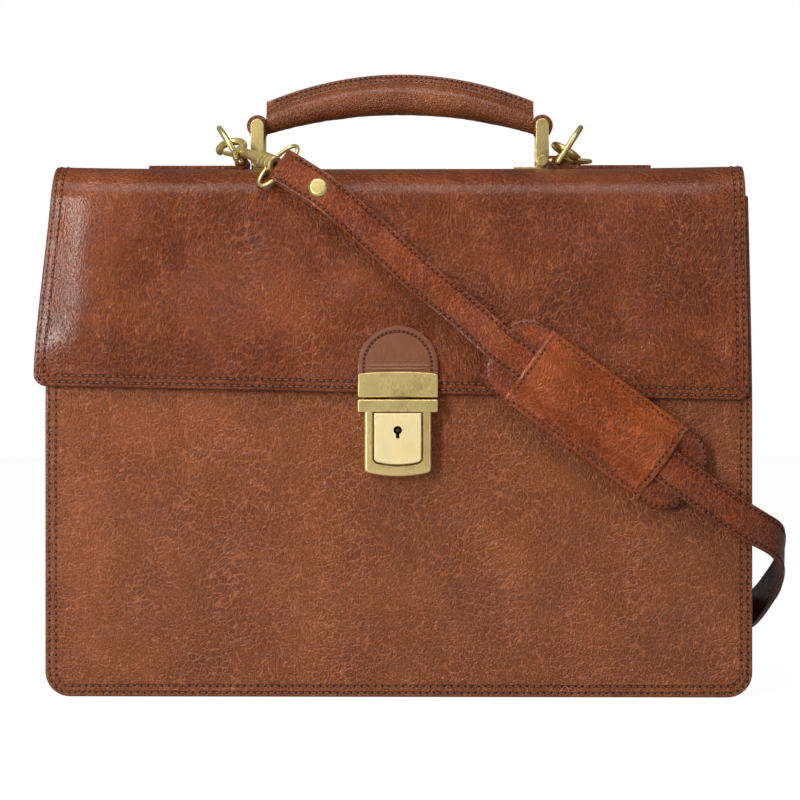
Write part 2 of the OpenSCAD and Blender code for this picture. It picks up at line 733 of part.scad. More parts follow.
// The way an eye's bar lies, for a hook turned by roll about its own length
function bar_way(claw, eye, roll) =
    let (u = unit(claw - eye), side = unit([-u[1], u[0], 0]), lift = cross(u, side))
    cos(roll) * side + sin(roll) * lift;
// Rings of the strap's end: a back layer of length lap, then a turn round the eye's bar
function end_rings(eye, across, d, lap) =
    let (f = cross(d, across))
    concat([for (s = [lap, lap / 2]) end_ring(eye - fold_r * f + s * d, across, -f)],
        [for (a = [180:-22.5:0]) let (out = cos(a) * f - sin(a) * d)
            end_ring(eye + fold_r * out, across, out)]);
function end_ring(c, across, out) =
    [c - across * strap_w / 2 - out * strap_t / 2, c + across * strap_w / 2 - out * strap_t / 2,
     c + across * strap_w / 2 + out * strap_t / 2, c - across * strap_w / 2 + out * strap_t / 2];

lap = 32;
rivet_at = 24;
bar_left = -bar_way(claw_left, eye_left, eye_roll_left);
bar_right = bar_way(claw_right, eye_right, eye_roll_right);
way_left = let (w = [0.703, -0.21, -0.703]) unit(w - (w * bar_left) * bar_left);
way_right = let (w = [0, 0.12, -0.99]) unit(w - (w * bar_right) * bar_right);
face_left = cross(way_left, bar_left);
face_right = cross(way_right, -bar_right);
function left_lap(s) = [eye_left + fold_r * face_left + s * way_left, face_left];
function right_lap(s) = [eye_right + fold_r * face_right + s * way_right, face_right];

pad_x = half_w - 89;
pad_z = flap_low - 12;
pad_slope = 36;
pad_back = flap_y(flap_low) - 0.7;
strap_on_pad = pad_back - pad_t - 0.2 - strap_t / 2;
function on_pad(u) =
    [[pad_x + u * cos(pad_slope), strap_on_pad, pad_z - u * sin(pad_slope)], [0, -1, 0]];

// A place over the flap, part f of the way from the left hook to the pad
function over_flap(f, sag, up) = let (a = left_lap(36)[0], b = on_pad(-66)[0])
    on_skin(mix(a[0], b[0], f), mix(a[2], b[2], f) - sag, up);
// A place round the right side, x past it, or behind the case at part h of its height: y past
// the back, and x past either the side or the right ring's lap
function round_side(x, y, z, face) = [[half_w + x, y, z], face];
function behind(x, y, h) = [[half_w + x, half_d + y, h * top_h], [0, 1, 0]];
function under_ring(x, y, h) = [[right_lap(34)[0][0] + x, half_d + y, h * top_h], [0, 1, 0]];
route = [left_lap(0), left_lap(12), left_lap(24), left_lap(30), left_lap(36),
    over_flap(0.155, 6.9, 3.6), over_flap(0.316, 4.5, 1.4), over_flap(0.531, 1.7, 0.2),
    over_flap(0.746, 0, 2.5), on_pad(-66), on_pad(-54), on_pad(0), on_pad(52), on_pad(64),
    round_side(-16, -half_d - 12, 107, [0.05, -1, 0]), round_side(2, -half_d - 8, 96, [0.35, -0.94, 0]),
    round_side(13.5, 0.5 - half_d, 89, [0.8, -0.6, 0]), round_side(18.5, -50, 80, [0.98, -0.2, 0]),
    round_side(19.5, -25, 68, [1, 0, 0]), round_side(17, 0, 57, [1, 0.05, 0]),
    round_side(14, 30, 46, [0.98, 0.2, 0]), round_side(10, half_d - 9, 38.5, [0.85, 0.53, 0]),
    round_side(0, half_d + 5, 35.5, [0.45, 0.9, 0]), round_side(-18, half_d + 7.5, 38, [0.15, 1, 0]),
    behind(-37, 7, 0.157), behind(-59, 6, 0.234), under_ring(21.3, 5, 0.356), under_ring(9.3, 4, 0.502),
    under_ring(3.3, 2.8, 0.66), under_ring(0.3, 1.5, 0.825), [right_lap(34)[0] + [0.2, 0, -4], [0, 1, 0]],
    right_lap(30), right_lap(24), right_lap(12), right_lap(0)];
side_start = 15;
rear_start = 22;
buckle_at = 28;
top_start = 30;
per = 3;
strap_rings = let (p = smooth_route([for (q = route) q[0]], per), f = smooth_route([for (q = route) q[1]], per))
    [for (i = [0:len(p) - 1]) ribbon_ring(p[i], way(p, i), unit(f[i]), strap_w, strap_t)];
// The rings from route point a to route point b; a stretch that follows another starts a
// little late, so that the two only just meet
function part_rings(a, b) = [for (i = [a * per:b * per]) strap_rings[i]];
function late_rings(a, b) =
    let (r = part_rings(a, b))
    concat([[for (j = [0:3]) mix(r[0][j], r[1][j], 0.04)]], [for (i = [1:len(r) - 1]) r[i]]);

module strap_front() {
    rings = part_rings(0, side_start);
    color(leather) difference() {
        loft(concat(end_rings(eye_left, bar_left, way_left, lap), [for (i = [1:len(rings) - 1]) rings[i]]));
        strap_rivet_hole(eye_left, way_left, face_left);
    }
}
module strap_side() { color(leather) loft(late_rings(side_start, rear_start)); }
slot_w = 4.4;
slot_h = 12;
holes_from = 14;
hole_pitch = 8;
module strap_rear() {
    color(leather) difference() {
        loft(late_rings(rear_start, top_start));
        at_buckle() translate([-slot_w / 2, -strap_t, -2.8]) cube([slot_w, 2 * strap_t, slot_h]);
        for (k = [1:4]) at_buckle()
            bar_y(0, -holes_from - hole_pitch * k, 1.6, -strap_t, strap_t);
    }
}
module strap_top() {
    rings = late_rings(top_start, len(route) - 1);
    last = end_rings(eye_right, -bar_right, way_right, lap);
    back = [for (i = [len(last) - 1:-1:0]) let (r = last[i]) [r[1], r[0], r[3], r[2]]];
    color(leather) difference() {
        loft(concat([for (i = [0:len(rings) - 2]) rings[i]], back));
        strap_rivet_hole(eye_right, way_right, face_right);
    }
}
module strap_rivet_hole(eye, d, f) {
    toward(eye + rivet_at * d, f) translate([0, 0, -3 * strap_t])
        cylinder(h = 6 * strap_t, r = 1.8 + pin_fit);
}
// Turns +Z to look along v at point p
module toward(p, v) {
    translate(p) rotate([0, acos(v[2]), atan2(v[1], v[0])]) children();
}
module strap_rivet(eye, d, f) {
    face = fold_r + strap_t / 2;
    color(brass) toward(eye + rivet_at * d, f) {
        translate([0, 0, -face]) cylinder(h = 2 * face + 0.3, r = 1.8);
        translate([0, 0, face + 0.2]) cylinder(h = 1.4, r1 = 5.75, r2 = 4.4);
    }
}
module strap_rivet_left() { strap_rivet(eye_left, way_left, face_left); }
module strap_rivet_right() { strap_rivet(eye_right, way_right, face_right); }

// The buckle sits on the straight length behind the case, with its prong through a slot
buckle_low = route[buckle_at][0];
buckle_high = route[buckle_at + 1][0];
buckle_u = unit(buckle_high - buckle_low);
module at_buckle() {
    translate(mix(buckle_low, buckle_high, 0.5))
        rotate([-asin(buckle_u[1]), asin(buckle_u[0]), 0]) children();
}
buckle_bar = 1.2;
bar_back = -strap_t / 2 - 0.3 - buckle_bar;
buckle_half = 11;
module strap_buckle() {
    inner = strap_w / 2 + 0.7;
    y0 = bar_back - buckle_bar;
    y1 = strap_t / 2 + 0.3;
    color(brass) at_buckle() {
        for (s = [-1, 1]) {
            translate([s > 0 ? inner : -inner - 2.2, y0, -buckle_half]) cube([2.2, y1 + 2 - y0, 2 * buckle_half]);
            translate([-inner - 2.2, y1, s > 0 ? buckle_half - 2.4 : -buckle_half])
                cube([2 * inner + 4.4, 1.4, 2.4]);
        }
        translate([-inner - 1, bar_back, 0]) along_own_x() cylinder(h = 2 * inner + 2, r = buckle_bar);
    }
}
prong_r = 1;
module buckle_prong() {
    reach = buckle_half - 1.2;
    rise = 0.95 * reach;
    color(brass) at_buckle() difference() {
        union() {
            translate([-1.8, bar_back, 0]) along_own_x() cylinder(h = 3.6, r = buckle_bar + 0.7);
            toward([0, bar_back, 0], unit([0, rise, reach]))
                cylinder(h = norm([rise, reach]) + 1.6, r = prong_r);
        }
        translate([-4, bar_back, 0]) along_own_x() cylinder(h = 8, r = buckle_bar + pin_fit);
    }
}
module strap_keeper() {
    w = strap_w + 0.8;
    t = strap_t + 0.6;
    color(leather) translate(mix(route[buckle_at - 1][0], buckle_low, 0.85))
        rotate([-asin(buckle_u[1]), -7, 0]) difference() {
            translate([-w / 2 - 1.5, -t / 2 - 1.5, -5]) cube([w + 3, t + 3, 10]);
            translate([-w / 2, -t / 2, -6]) cube([w, t, 12]);
        }
}

// Shoulder pad: a crowned cushion with round ends and a sleeve that the strap runs through
pad_edge = 3;
pad_end_r = 22;
pad_half = pad_len / 2;
function pad_reach(u) = let (e = max(0, abs(u) - (pad_half - pad_end_r)))
    pad_w / 2 - pad_end_r + sqrt(max(0.5, pow(pad_end_r, 2) - pow(e, 2)));
function pad_thick(u, w) = let (q = min(1, (pad_half - abs(u) + 1) / 20))
    pad_edge * sqrt(q) + (pad_t - pad_edge) * (1 - pow(w / pad_reach(u), 2)) * sqrt(q);
module at_pad() { translate([pad_x, pad_back, pad_z]) rotate([0, pad_slope, 0]) children(); }
module shoulder_pad() {
    us = [for (i = [-9:9]) pad_half * sin(10 * i)];
    ws = [for (k = [-4:4]) k / 4];
    color(leather) at_pad() loft([for (u = us) let (h = pad_reach(u)) concat(
        [for (k = ws) [u, 0, k * h]],
        [for (i = [8:-1:0]) [u, -pad_thick(u, ws[i] * h), ws[i] * h]])]);
}
module pad_sleeve() {
    lap_w = 49 / 2;
    hold = strap_w / 2 + 0.8;
    rise = pad_t + 0.2 + strap_t + 0.2;
    sheet = 1.3;
    ws = [lap_w, lap_w * 0.82, lap_w * 0.64, hold + 1.5];
    low = [for (w = ws) [w, pad_thick(0, w) + 0.15]];
    under = concat(low, [[hold, rise]]);
    upper = concat([[hold, rise + sheet], [hold + 2.6, low[3][1] + sheet]],
        [for (i = [2:-1:0]) low[i] + [0, sheet]]);
    flip = function(l) [for (i = [len(l) - 1:-1:0]) [-l[i][0], l[i][1]]];
    outline = concat(under, flip(under), flip(upper), upper);
    color(leather) at_pad() translate([-sleeve_len / 2, 0, 0]) rotate([90, 0, 90])
        linear_extrude(sleeve_len)
            polygon([for (q = outline) [-q[1], q[0]]]);
}

front_panel();
back_panel();
base_panel();
gusset_front();
gusset_rear();
divider();
flap();
lock_tab();
hasp_plate();
hasp_rivets();
lock_case();
lock_button();
lock_latch();
lock_tumbler();
key_post();
lock_springs();
lock_backplate();
lock_rivets();
handle_plate();
handle_saddles();
saddle_rivets();
link_left();
link_right();
link_screws_left();
link_screws_right();
handle_grip();
grip_loops();
ring_tab_left();
ring_tab_right();
d_ring_left();
d_ring_right();
hook_left();
hook_right();
gate_left();
gate_right();
gate_pin_left();
gate_pin_right();
swivel_eye_left();
swivel_eye_right();
strap_front();
strap_side();
strap_rear();
strap_top();
strap_rivet_left();
strap_rivet_right();
strap_buckle();
buckle_prong();
strap_keeper();
shoulder_pad();
pad_sleeve();
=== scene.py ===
# %% [markdown]
# # A leather briefcase
# The frame holds every solid of the case in its exact place, in metres. This lesson gives the
# case its looks: sewn leather with a grain, antique brass fittings, a cushioned shoulder pad
# and thread in every seam. Nothing here changes a size; each new piece lies on the solid
# that it stands for, and most of them move with the same body.

# %% Load the frame
import math
import bmesh
import bpy
from mathutils import Matrix, Vector, noise
from mathutils.bvhtree import BVHTree


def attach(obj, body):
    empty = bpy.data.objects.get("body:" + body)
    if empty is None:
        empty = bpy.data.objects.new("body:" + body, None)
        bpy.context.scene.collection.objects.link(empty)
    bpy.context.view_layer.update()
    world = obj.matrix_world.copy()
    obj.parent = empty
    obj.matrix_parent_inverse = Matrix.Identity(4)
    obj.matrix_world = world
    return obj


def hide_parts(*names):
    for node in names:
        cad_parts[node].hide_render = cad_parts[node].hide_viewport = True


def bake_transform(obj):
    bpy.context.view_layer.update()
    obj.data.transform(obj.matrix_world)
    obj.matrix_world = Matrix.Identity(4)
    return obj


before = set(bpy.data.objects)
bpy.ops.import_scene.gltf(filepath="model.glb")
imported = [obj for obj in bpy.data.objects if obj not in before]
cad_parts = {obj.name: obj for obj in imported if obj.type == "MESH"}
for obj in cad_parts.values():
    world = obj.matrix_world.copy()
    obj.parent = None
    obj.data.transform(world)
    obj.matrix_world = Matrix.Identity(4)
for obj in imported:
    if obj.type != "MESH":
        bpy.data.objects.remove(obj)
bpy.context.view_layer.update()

MM = 0.001

# %% [markdown]
# ## Camera
# The case is seen straight from the front, from about one and a half metres, at half its
# height. A long lens keeps the panels square. The camera comes first, because every later
# choice is judged through it.

# %% Camera
front_camera = bpy.data.objects.new("front_camera", bpy.data.cameras.new("front_camera"))
bpy.context.scene.collection.objects.link(front_camera)
front_camera.data.lens = 119.4
front_camera.data.sensor_width = 36
front_camera.location = (0.026, -1.565, 0.168)
looks_at = Vector((0.0011, -0.065, 0.168))
front_camera.rotation_euler = (looks_at - front_camera.location).to_track_quat("-Z", "Y").to_euler()
bpy.context.scene.camera = front_camera
bpy.context.scene.view_settings.view_transform = "Standard"
print("camera at", tuple(front_camera.location))

# %% [markdown]
# ## Floor, light and background
# A pale floor and a soft studio light show leather best: one tall soft lamp on the left
# draws the long highlight down the flap, a wide one overhead lights the top, and a weak one
# on the right opens the shadows. The floor and the world are white only to the camera, so
# the white doesn't wash out the leather.

# %% Floor
def new_object(name, mesh):
    thing = bpy.data.objects.new(name, mesh)
    bpy.context.scene.collection.objects.link(thing)
    return thing

def paper_white():
    paper = bpy.data.materials.new("paper_white")
    paper.use_nodes = True
    nodes, links = paper.node_tree.nodes, paper.node_tree.links
    shader = nodes["Principled BSDF"]
    shader.inputs["Base Color"].default_value = (0.60, 0.59, 0.58, 1)
    shader.inputs["Roughness"].default_value = 0.9
    shader.inputs["Specular IOR Level"].default_value = 0.1
    glow, mix, path = (nodes.new(kind) for kind in
                       ("ShaderNodeEmission", "ShaderNodeMixShader", "ShaderNodeLightPath"))
    share = nodes.new("ShaderNodeMath")
    share.operation = "MULTIPLY"
    share.inputs[1].default_value = 0.80
    glow.inputs["Strength"].default_value = 1.2
    links.new(path.outputs["Is Camera Ray"], share.inputs[0])
    links.new(share.outputs[0], mix.inputs[0])
    links.new(shader.outputs[0], mix.inputs[1])
    links.new(glow.outputs[0], mix.inputs[2])
    links.new(mix.outputs[0], nodes["Material Output"].inputs["Surface"])
    return paper

floor_shape = bmesh.new()
bmesh.ops.create_grid(floor_shape, x_segments=1, y_segments=1, size=6)
floor_mesh = bpy.data.meshes.new("floor")
floor_shape.to_mesh(floor_mesh)
floor_shape.free()
floor_mesh.materials.append(paper_white())
floor = new_object("floor", floor_mesh)

# %% World and lamps
world = bpy.data.worlds.new("studio")
bpy.context.scene.world = world
world.use_nodes = True
sky = world.node_tree.nodes["Background"]
sky.inputs["Color"].default_value = (1, 1, 1, 1)
path = world.node_tree.nodes.new("ShaderNodeLightPath")
level = world.node_tree.nodes.new("ShaderNodeMapRange")
level.inputs["To Min"].default_value = 0.13
level.inputs["To Max"].default_value = 1.0
world.node_tree.links.new(path.outputs["Is Camera Ray"], level.inputs["Value"])
world.node_tree.links.new(level.outputs["Result"], sky.inputs["Strength"])

def soft_lamp(name, place, aim, width, height, power):
    lamp = bpy.data.lights.new(name, "AREA")
    lamp.shape, lamp.size, lamp.size_y, lamp.energy = "RECTANGLE", width, height, power
    holder = bpy.data.objects.new(name, lamp)
    bpy.context.scene.collection.objects.link(holder)
    holder.location = place
    holder.rotation_euler = (Vector(aim) - Vector(place)).to_track_quat("-Z", "Y").to_euler()

soft_lamp("left_box", (-0.80, -1.25, 0.62), (-0.05, 0, 0.2), 0.20, 1.0, 18)
soft_lamp("top_box", (-0.1, -0.55, 1.35), (0, 0, 0.15), 1.2, 0.6, 10.5)
soft_lamp("right_box", (1.3, -1.0, 0.5), (0, 0, 0.15), 0.5, 0.9, 3)

# %% [markdown]
# ## Leather
# The case is glossy leather with a fine pebbled grain, a few longer creases, a net of thin
# grooves and a mottled dye. The pale colour along the net is a painted highlight, and the
# darker crease valleys are painted shade. Noise gives the mottling, the distance to the
# centres of small Voronoi cells gives the pebbles, ridged noise gives the creases, and the
# edges between larger, stretched cells give the net. All of it reads object coordinates, so
# the grain has one scale on every piece. A sewn piece also carries an attribute called edge,
# the distance to its cut edge in millimetres: the finish sinks the leather along its seams
# and paints the cut edge, as a maker does, and painted shade darkens the seam grooves. A thin
# clear coat lies over it all. Polish fills the grain, so the coat has a much weaker bump than
# the leather under it, and the long highlights stay whole.

# %% Finish helpers
finishes = {}

def finish(name, metallic, roughness):
    material = finishes[name] = bpy.data.materials.new(name + "_finish")
    material.use_nodes = True
    tree = material.node_tree
    shader = tree.nodes["Principled BSDF"]
    shader.inputs["Metallic"].default_value = metallic
    shader.inputs["Roughness"].default_value = roughness
    return tree, shader

def step(tree, kind, inputs=None, **settings):
    made = tree.nodes.new("ShaderNode" + kind)
    for key, value in settings.items():
        setattr(made, key, value)
    for socket, value in (inputs or {}).items():
        if isinstance(value, bpy.types.NodeSocket):
            tree.links.new(value, made.inputs[socket])
        else:
            made.inputs[socket].default_value = value
    return made

def sums(tree, how, a, b, c=0.5):
    return step(tree, "Math", {0: a, 1: b, 2: c}, operation=how).outputs[0]

def eased(tree, value, low, high, start=0.0, end=1.0):
    return step(tree, "MapRange", {"Value": value, "From Min": low, "From Max": high, "To Min": start,
                                   "To Max": end}, interpolation_type="SMOOTHSTEP").outputs["Result"]

def away_from(tree, value, middle):
    return sums(tree, "ABSOLUTE", sums(tree, "SUBTRACT", value, middle), 0.0)

def noise_at(tree, where, scale, detail, rough=0.5, give="Fac"):
    return step(tree, "TexNoise", {"Vector": where, "Scale": scale, "Detail": detail,
                                   "Roughness": rough}).outputs[give]

def ramp(tree, value, stops):
    made = step(tree, "ValToRGB", {"Fac": value})
    while len(made.color_ramp.elements) < len(stops):
        made.color_ramp.elements.new(0.5)
    for element, (place, colour) in zip(made.color_ramp.elements, stops):
        element.position, element.color = place, (*colour, 1)
    return made.outputs["Color"]

def mixed(tree, share, first, second):
    made = step(tree, "Mix", {"Factor": share}, data_type="RGBA")
    for socket, value in ((6, first), (7, second)):
        if isinstance(value, bpy.types.NodeSocket):
            tree.links.new(value, made.inputs[socket])
        else:
            made.inputs[socket].default_value = (*value, 1)
    return made.outputs[2]

# %% Leather finish
SEAM_ROWS = (2.4, 6.2)
CREASE_STRETCH, NET_STRETCH = (520, 520, 85), (380, 380, 230)
DRIFT, SKIN_RELIEF, SEAM_DEPTH = 0.055, 0.10, 0.45
COAT, COAT_ROUGHNESS, COAT_RELIEF, SHINE = 0.27, 0.14, 0.12, 0.29

def leather(name, dark, middle, light, gloss=0.22, cell=1.4, relief=0.27, creases=0.42, seams=(),
            edge_paint=True, turned=0.3, net_groove_and_highlight=0.35):
    """cell is the size of a pebble and seams are distances from the edge, in millimetres."""
    tree, shader = finish(name, 0, gloss)
    here = step(tree, "TexCoord").outputs["Object"]
    cloud = noise_at(tree, here, 26, 6, 0.62)
    colour = ramp(tree, cloud, [(0.22, dark), (0.5, middle), (0.78, light)])
    drift = noise_at(tree, here, 15, 2, give="Color")
    bent = step(tree, "VectorMath", {0: drift, 1: (DRIFT,) * 3, 2: here},
                operation="MULTIPLY_ADD").outputs[0]

    def stretched(scale):
        return step(tree, "Mapping", {"Vector": bent, "Rotation": (0, turned, 0),
                                      "Scale": scale}).outputs[0]

    wave = noise_at(tree, stretched(CREASE_STRETCH), 1, 3, 0.55)
    fold = eased(tree, away_from(tree, wave, 0.5), 0.0, 0.11)
    cells = step(tree, "TexVoronoi", {"Vector": here, "Scale": 1000 / cell, "Randomness": 0.9})
    pebble = eased(tree, cells.outputs["Distance"], 0.72, 0.12)
    patches = noise_at(tree, here, 20, 2)
    worn = eased(tree, patches, 0.34, 0.60, 0.30, 1.0)
    skin = noise_at(tree, here, 1500, 2)
    height = sums(tree, "MULTIPLY_ADD", pebble, relief, sums(tree, "MULTIPLY", skin, SKIN_RELIEF))
    height = sums(tree, "MULTIPLY_ADD", sums(tree, "MULTIPLY", fold, worn), creases, height)
    # Painted shade: the leather is darkened in the crease valleys.
    painted_crease_shade = sums(tree, "MULTIPLY", sums(tree, "SUBTRACT", 1.0, fold), sums(tree, "MULTIPLY", worn, 0.6))
    colour = mixed(tree, painted_crease_shade, colour, dark)
    net = step(tree, "TexVoronoi", {"Vector": stretched(NET_STRETCH), "Scale": 1.0},
               feature="DISTANCE_TO_EDGE").outputs["Distance"]
    # The net lines are thin grooves, and the pale colour along them is a painted highlight.
    line = eased(tree, net, 0.02, 0.13, 1.0, 0.0)
    colour = mixed(tree, sums(tree, "MULTIPLY", line, net_groove_and_highlight), colour, [1.25 * part for part in light])
    height = sums(tree, "MULTIPLY_ADD", line, -0.5 * net_groove_and_highlight, height)
    if edge_paint or seams:
        edge = step(tree, "Attribute", attribute_name="edge").outputs["Fac"]
    for at in seams:
        # Each seam groove is sunk, and darkened a little with painted shade.
        seam_groove_and_shade = eased(tree, away_from(tree, edge, at), 0.15, 1.15, 1.0, 0.0)
        height = sums(tree, "MULTIPLY_ADD", seam_groove_and_shade, -SEAM_DEPTH, height)
        colour = mixed(tree, sums(tree, "MULTIPLY", seam_groove_and_shade, 0.3), colour, dark)
    if edge_paint:
        paint = eased(tree, edge, 0.3, 0.9, 0.6, 0.0)
        colour = mixed(tree, paint, colour, [0.8 * part for part in middle])
    for socket, strength in (("Normal", 1.0), ("Coat Normal", COAT_RELIEF)):
        bump = step(tree, "Bump", {"Height": height, "Strength": strength, "Distance": 0.001})
        tree.links.new(bump.outputs["Normal"], shader.inputs[socket])
    tree.links.new(colour, shader.inputs["Base Color"])
    dull = eased(tree, patches, 0.3, 0.7, gloss - 0.04, gloss + 0.07)
    tree.links.new(dull, shader.inputs["Roughness"])
    shader.inputs["Coat Weight"].default_value = COAT
    shader.inputs["Coat Roughness"].default_value = COAT_ROUGHNESS
    shader.inputs["Specular IOR Level"].default_value = SHINE

leather("case_leather", (0.075, 0.012, 0.001), (0.150, 0.029, 0.004), (0.250, 0.058, 0.010),
        seams=SEAM_ROWS, net_groove_and_highlight=0.55)
leather("panel_leather", (0.115, 0.025, 0.006), (0.198, 0.049, 0.011), (0.290, 0.083, 0.023),
        seams=SEAM_ROWS, relief=0.30, creases=0.15, net_groove_and_highlight=0.6)
leather("plain_leather", (0.085, 0.013, 0.001), (0.168, 0.033, 0.004), (0.250, 0.058, 0.010),
        edge_paint=False)
leather("strap_leather", (0.078, 0.010, 0.001), (0.185, 0.031, 0.003), (0.32, 0.065, 0.009),
        seams=(2.2,), turned=-0.7)
leather("sleeve_leather", (0.12, 0.018, 0.001), (0.265, 0.046, 0.003), (0.41, 0.085, 0.009),
        seams=(3.05,), turned=-0.7)
leather("tab_leather", (0.150, 0.044, 0.014), (0.182, 0.057, 0.020), (0.215, 0.072, 0.027),
        gloss=0.42, cell=0.9, relief=0.1, creases=0.05, seams=(3.3,), net_groove_and_highlight=0.0)
leather("grip_leather", (0.085, 0.019, 0.004), (0.18, 0.046, 0.012), (0.28, 0.085, 0.028),
        cell=1.2, creases=0.3, edge_paint=False, turned=1.3)
leather("dark_leather", (0.020, 0.007, 0.004), (0.040, 0.014, 0.008), (0.06, 0.022, 0.013),
        gloss=0.5, edge_paint=False)
print("leathers:", sorted(finishes))

# %% [markdown]
# ## Metal
# The fittings are antique brass: a dull olive gold, mottled darker and brighter at random.
# Only the button is new-looking, pale and brushed upright. The brushing is noise stretched
# along one direction, which streaks the colour and gives a very small bump. The parts inside
# the lock are brass painted nearly black, as painted shade, so the keyhole and the slot above
# the case stay dark. Thread, the stitch holes, which are near-black painted shade, and the
# painted plate under the handle need only one colour with a little mottling.

# %% Metal finishes
def metal(name, deep, bright, rough, metallic, marks=0.12):
    tree, shader = finish(name, metallic, rough)
    here = step(tree, "TexCoord").outputs["Object"]
    cloud = noise_at(tree, here, 75, 3)
    upright = step(tree, "Mapping", {"Vector": here, "Scale": (900, 900, 90)}).outputs["Vector"]
    lines = noise_at(tree, upright, 3.2, 3)
    tone = sums(tree, "MULTIPLY_ADD", lines, 0.45, sums(tree, "MULTIPLY", cloud, 0.8))
    tree.links.new(ramp(tree, tone, [(0.44, deep), (0.66, bright)]), shader.inputs["Base Color"])
    bump = step(tree, "Bump", {"Height": lines, "Strength": marks, "Distance": 0.00008})
    tree.links.new(bump.outputs["Normal"], shader.inputs["Normal"])
    tree.links.new(eased(tree, cloud, 0.3, 0.7, rough + 0.07, rough - 0.05), shader.inputs["Roughness"])

metal("antique_brass", (0.42, 0.32, 0.12), (0.82, 0.64, 0.26), 0.32, 0.75)
# Brass painted nearly black: painted shade for the parts deep inside the lock.
metal("painted_shade_brass", (0.06, 0.045, 0.02), (0.12, 0.09, 0.035), 0.45, 0.75)
metal("pale_gold", (0.84, 0.68, 0.32), (0.92, 0.78, 0.42), 0.38, 0.45, marks=0.3)
metal("steel", (0.35, 0.35, 0.35), (0.55, 0.55, 0.54), 0.35, 0.95)

# %% Thread, holes and paint
def plain(name, colour, roughness, spots):
    tree, shader = finish(name, 0, roughness)
    here = step(tree, "TexCoord").outputs["Object"]
    shades = [(0.35, [0.75 * part for part in colour]), (0.65, colour)]
    tree.links.new(ramp(tree, noise_at(tree, here, spots, 3), shades), shader.inputs["Base Color"])

plain("thread", (0.20, 0.065, 0.026), 0.6, 900)
# Near-black: painted shade in the stitch holes and the keyhole.
plain("hole_shade", (0.006, 0.002, 0.001), 0.9, 300)
plain("painted_steel", (0.030, 0.014, 0.008), 0.6, 60)
print("finishes:", sorted(finishes))

# %% [markdown]
# ## Sheets of leather
# Every panel, strap and tab starts as a flat grid. A rule moves each corner of the grid to its
# place on the case and notes how far it is from the cut edge. Solidify then gives the sheet
# its thickness inwards and Bevel rounds its cut edge. A copy with the modifiers worked in is
# kept, so the piece is one plain mesh at the origin.

# %% Sheet helpers
def settled(thing):
    bpy.context.view_layer.update()
    ready = bpy.data.meshes.new_from_object(thing.evaluated_get(bpy.context.evaluated_depsgraph_get()))
    thing.modifiers.clear()
    thing.data = ready
    return thing

def smoothed(thing, angle=40):
    thing.data.shade_smooth()
    thing.data.set_sharp_from_angle(angle=math.radians(angle))
    return thing

def belongs(piece, body, stands_for):
    """Says which body carries the piece and which solids it stands for."""
    if body:
        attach(piece, body)
    if stands_for:
        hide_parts(*stands_for)
    return piece

def made_piece(name, shape, material, body, stands_for=()):
    mesh = bpy.data.meshes.new(name)
    shape.to_mesh(mesh)
    shape.free()
    mesh.materials.append(finishes[material])
    return belongs(smoothed(new_object(name, mesh)), body, stands_for)

def leather_sheet(name, across, along, place, thick, material, body, stands_for=(),
                  rim=0.8):
    """place turns a spot of the flat sheet, 0 to 1 both ways, into a point and its edge distance."""
    shape = bmesh.new()
    bmesh.ops.create_grid(shape, x_segments=across, y_segments=along, size=0.5)
    edge = shape.verts.layers.float.new("edge")
    for corner in shape.verts:
        corner.co, corner[edge] = place(corner.co.x + 0.5, corner.co.y + 0.5)
    piece = made_piece(name, shape, material, None)
    wall = piece.modifiers.new("wall", "SOLIDIFY")
    wall.thickness, wall.offset = thick * MM, -1
    soft = piece.modifiers.new("soft rim", "BEVEL")
    soft.width, soft.segments = rim * MM, 3
    soft.limit_method, soft.angle_limit = "ANGLE", math.radians(50)
    return belongs(smoothed(settled(piece), 60), body, stands_for)

def rounded_corner(x, z, half_w, low, r):
    """Draws a square lower corner of the grid onto an arc, and measures the way to the edge."""
    side = 1 if x > 0 else -1
    over, under = abs(x) - (half_w - r), low + r - z
    if over <= 0 or under <= 0:
        return x, z, min(half_w - abs(x), z - low)
    a, b = over / r, under / r
    p, q = a * math.sqrt(1 - b * b / 2), b * math.sqrt(1 - a * a / 2)
    return side * (half_w - r + p * r), low + r - q * r, r * (1 - math.hypot(p, q))

def undulation(x, z, size, seed):
    return noise.noise(Vector((x / size, z / size, seed)))

# %% [markdown]
# ## Front and back panels
# Two stiff panels make the box. Each is one sheet with round lower corners that leans in above
# the middle, swells a little between its seams and lies flat where it is sewn.

# %% Front panel
HALF_WIDE, HALF_DEEP = 200.0, 65.0
FRONT_HIGH, BACK_HIGH, LEAN_FROM = 285, 299.2, 165.0
FRONT_LEAN, BACK_LEAN = 21, 11.25
PANEL_THICK, PANEL_CORNER = 3.4, 14

def lean(z, high, total):
    return 0 if z <= LEAN_FROM else total * ((z - LEAN_FROM) / (high - LEAN_FROM)) ** 1.3

def swell(x, z, away, high):
    inside = 1 - math.exp(-max(0, away - 7) / 16)
    hump = max(0, math.sin(math.pi * min(1, max(0, z / high))))
    return inside * (1.3 * hump + 0.5 * hump * undulation(x, z, 70, 3.1))

def front_face(x, z, away):
    return -HALF_DEEP + lean(z, FRONT_HIGH, FRONT_LEAN) - swell(x, z, away, 166)

def front_place(u, v):
    x, z, away = rounded_corner((2 * u - 1) * HALF_WIDE, FRONT_HIGH * v, HALF_WIDE, 0, PANEL_CORNER)
    return Vector((x, front_face(x, z, away), z)) * MM, away

front_panel = leather_sheet("front_panel_skin", 100, 72, front_place, PANEL_THICK, "panel_leather",
                            "root", ["front_panel"])

# %% Back panel
def back_face(x, z, away):
    return HALF_DEEP - lean(z, BACK_HIGH, BACK_LEAN) + swell(x, z, away, 290)

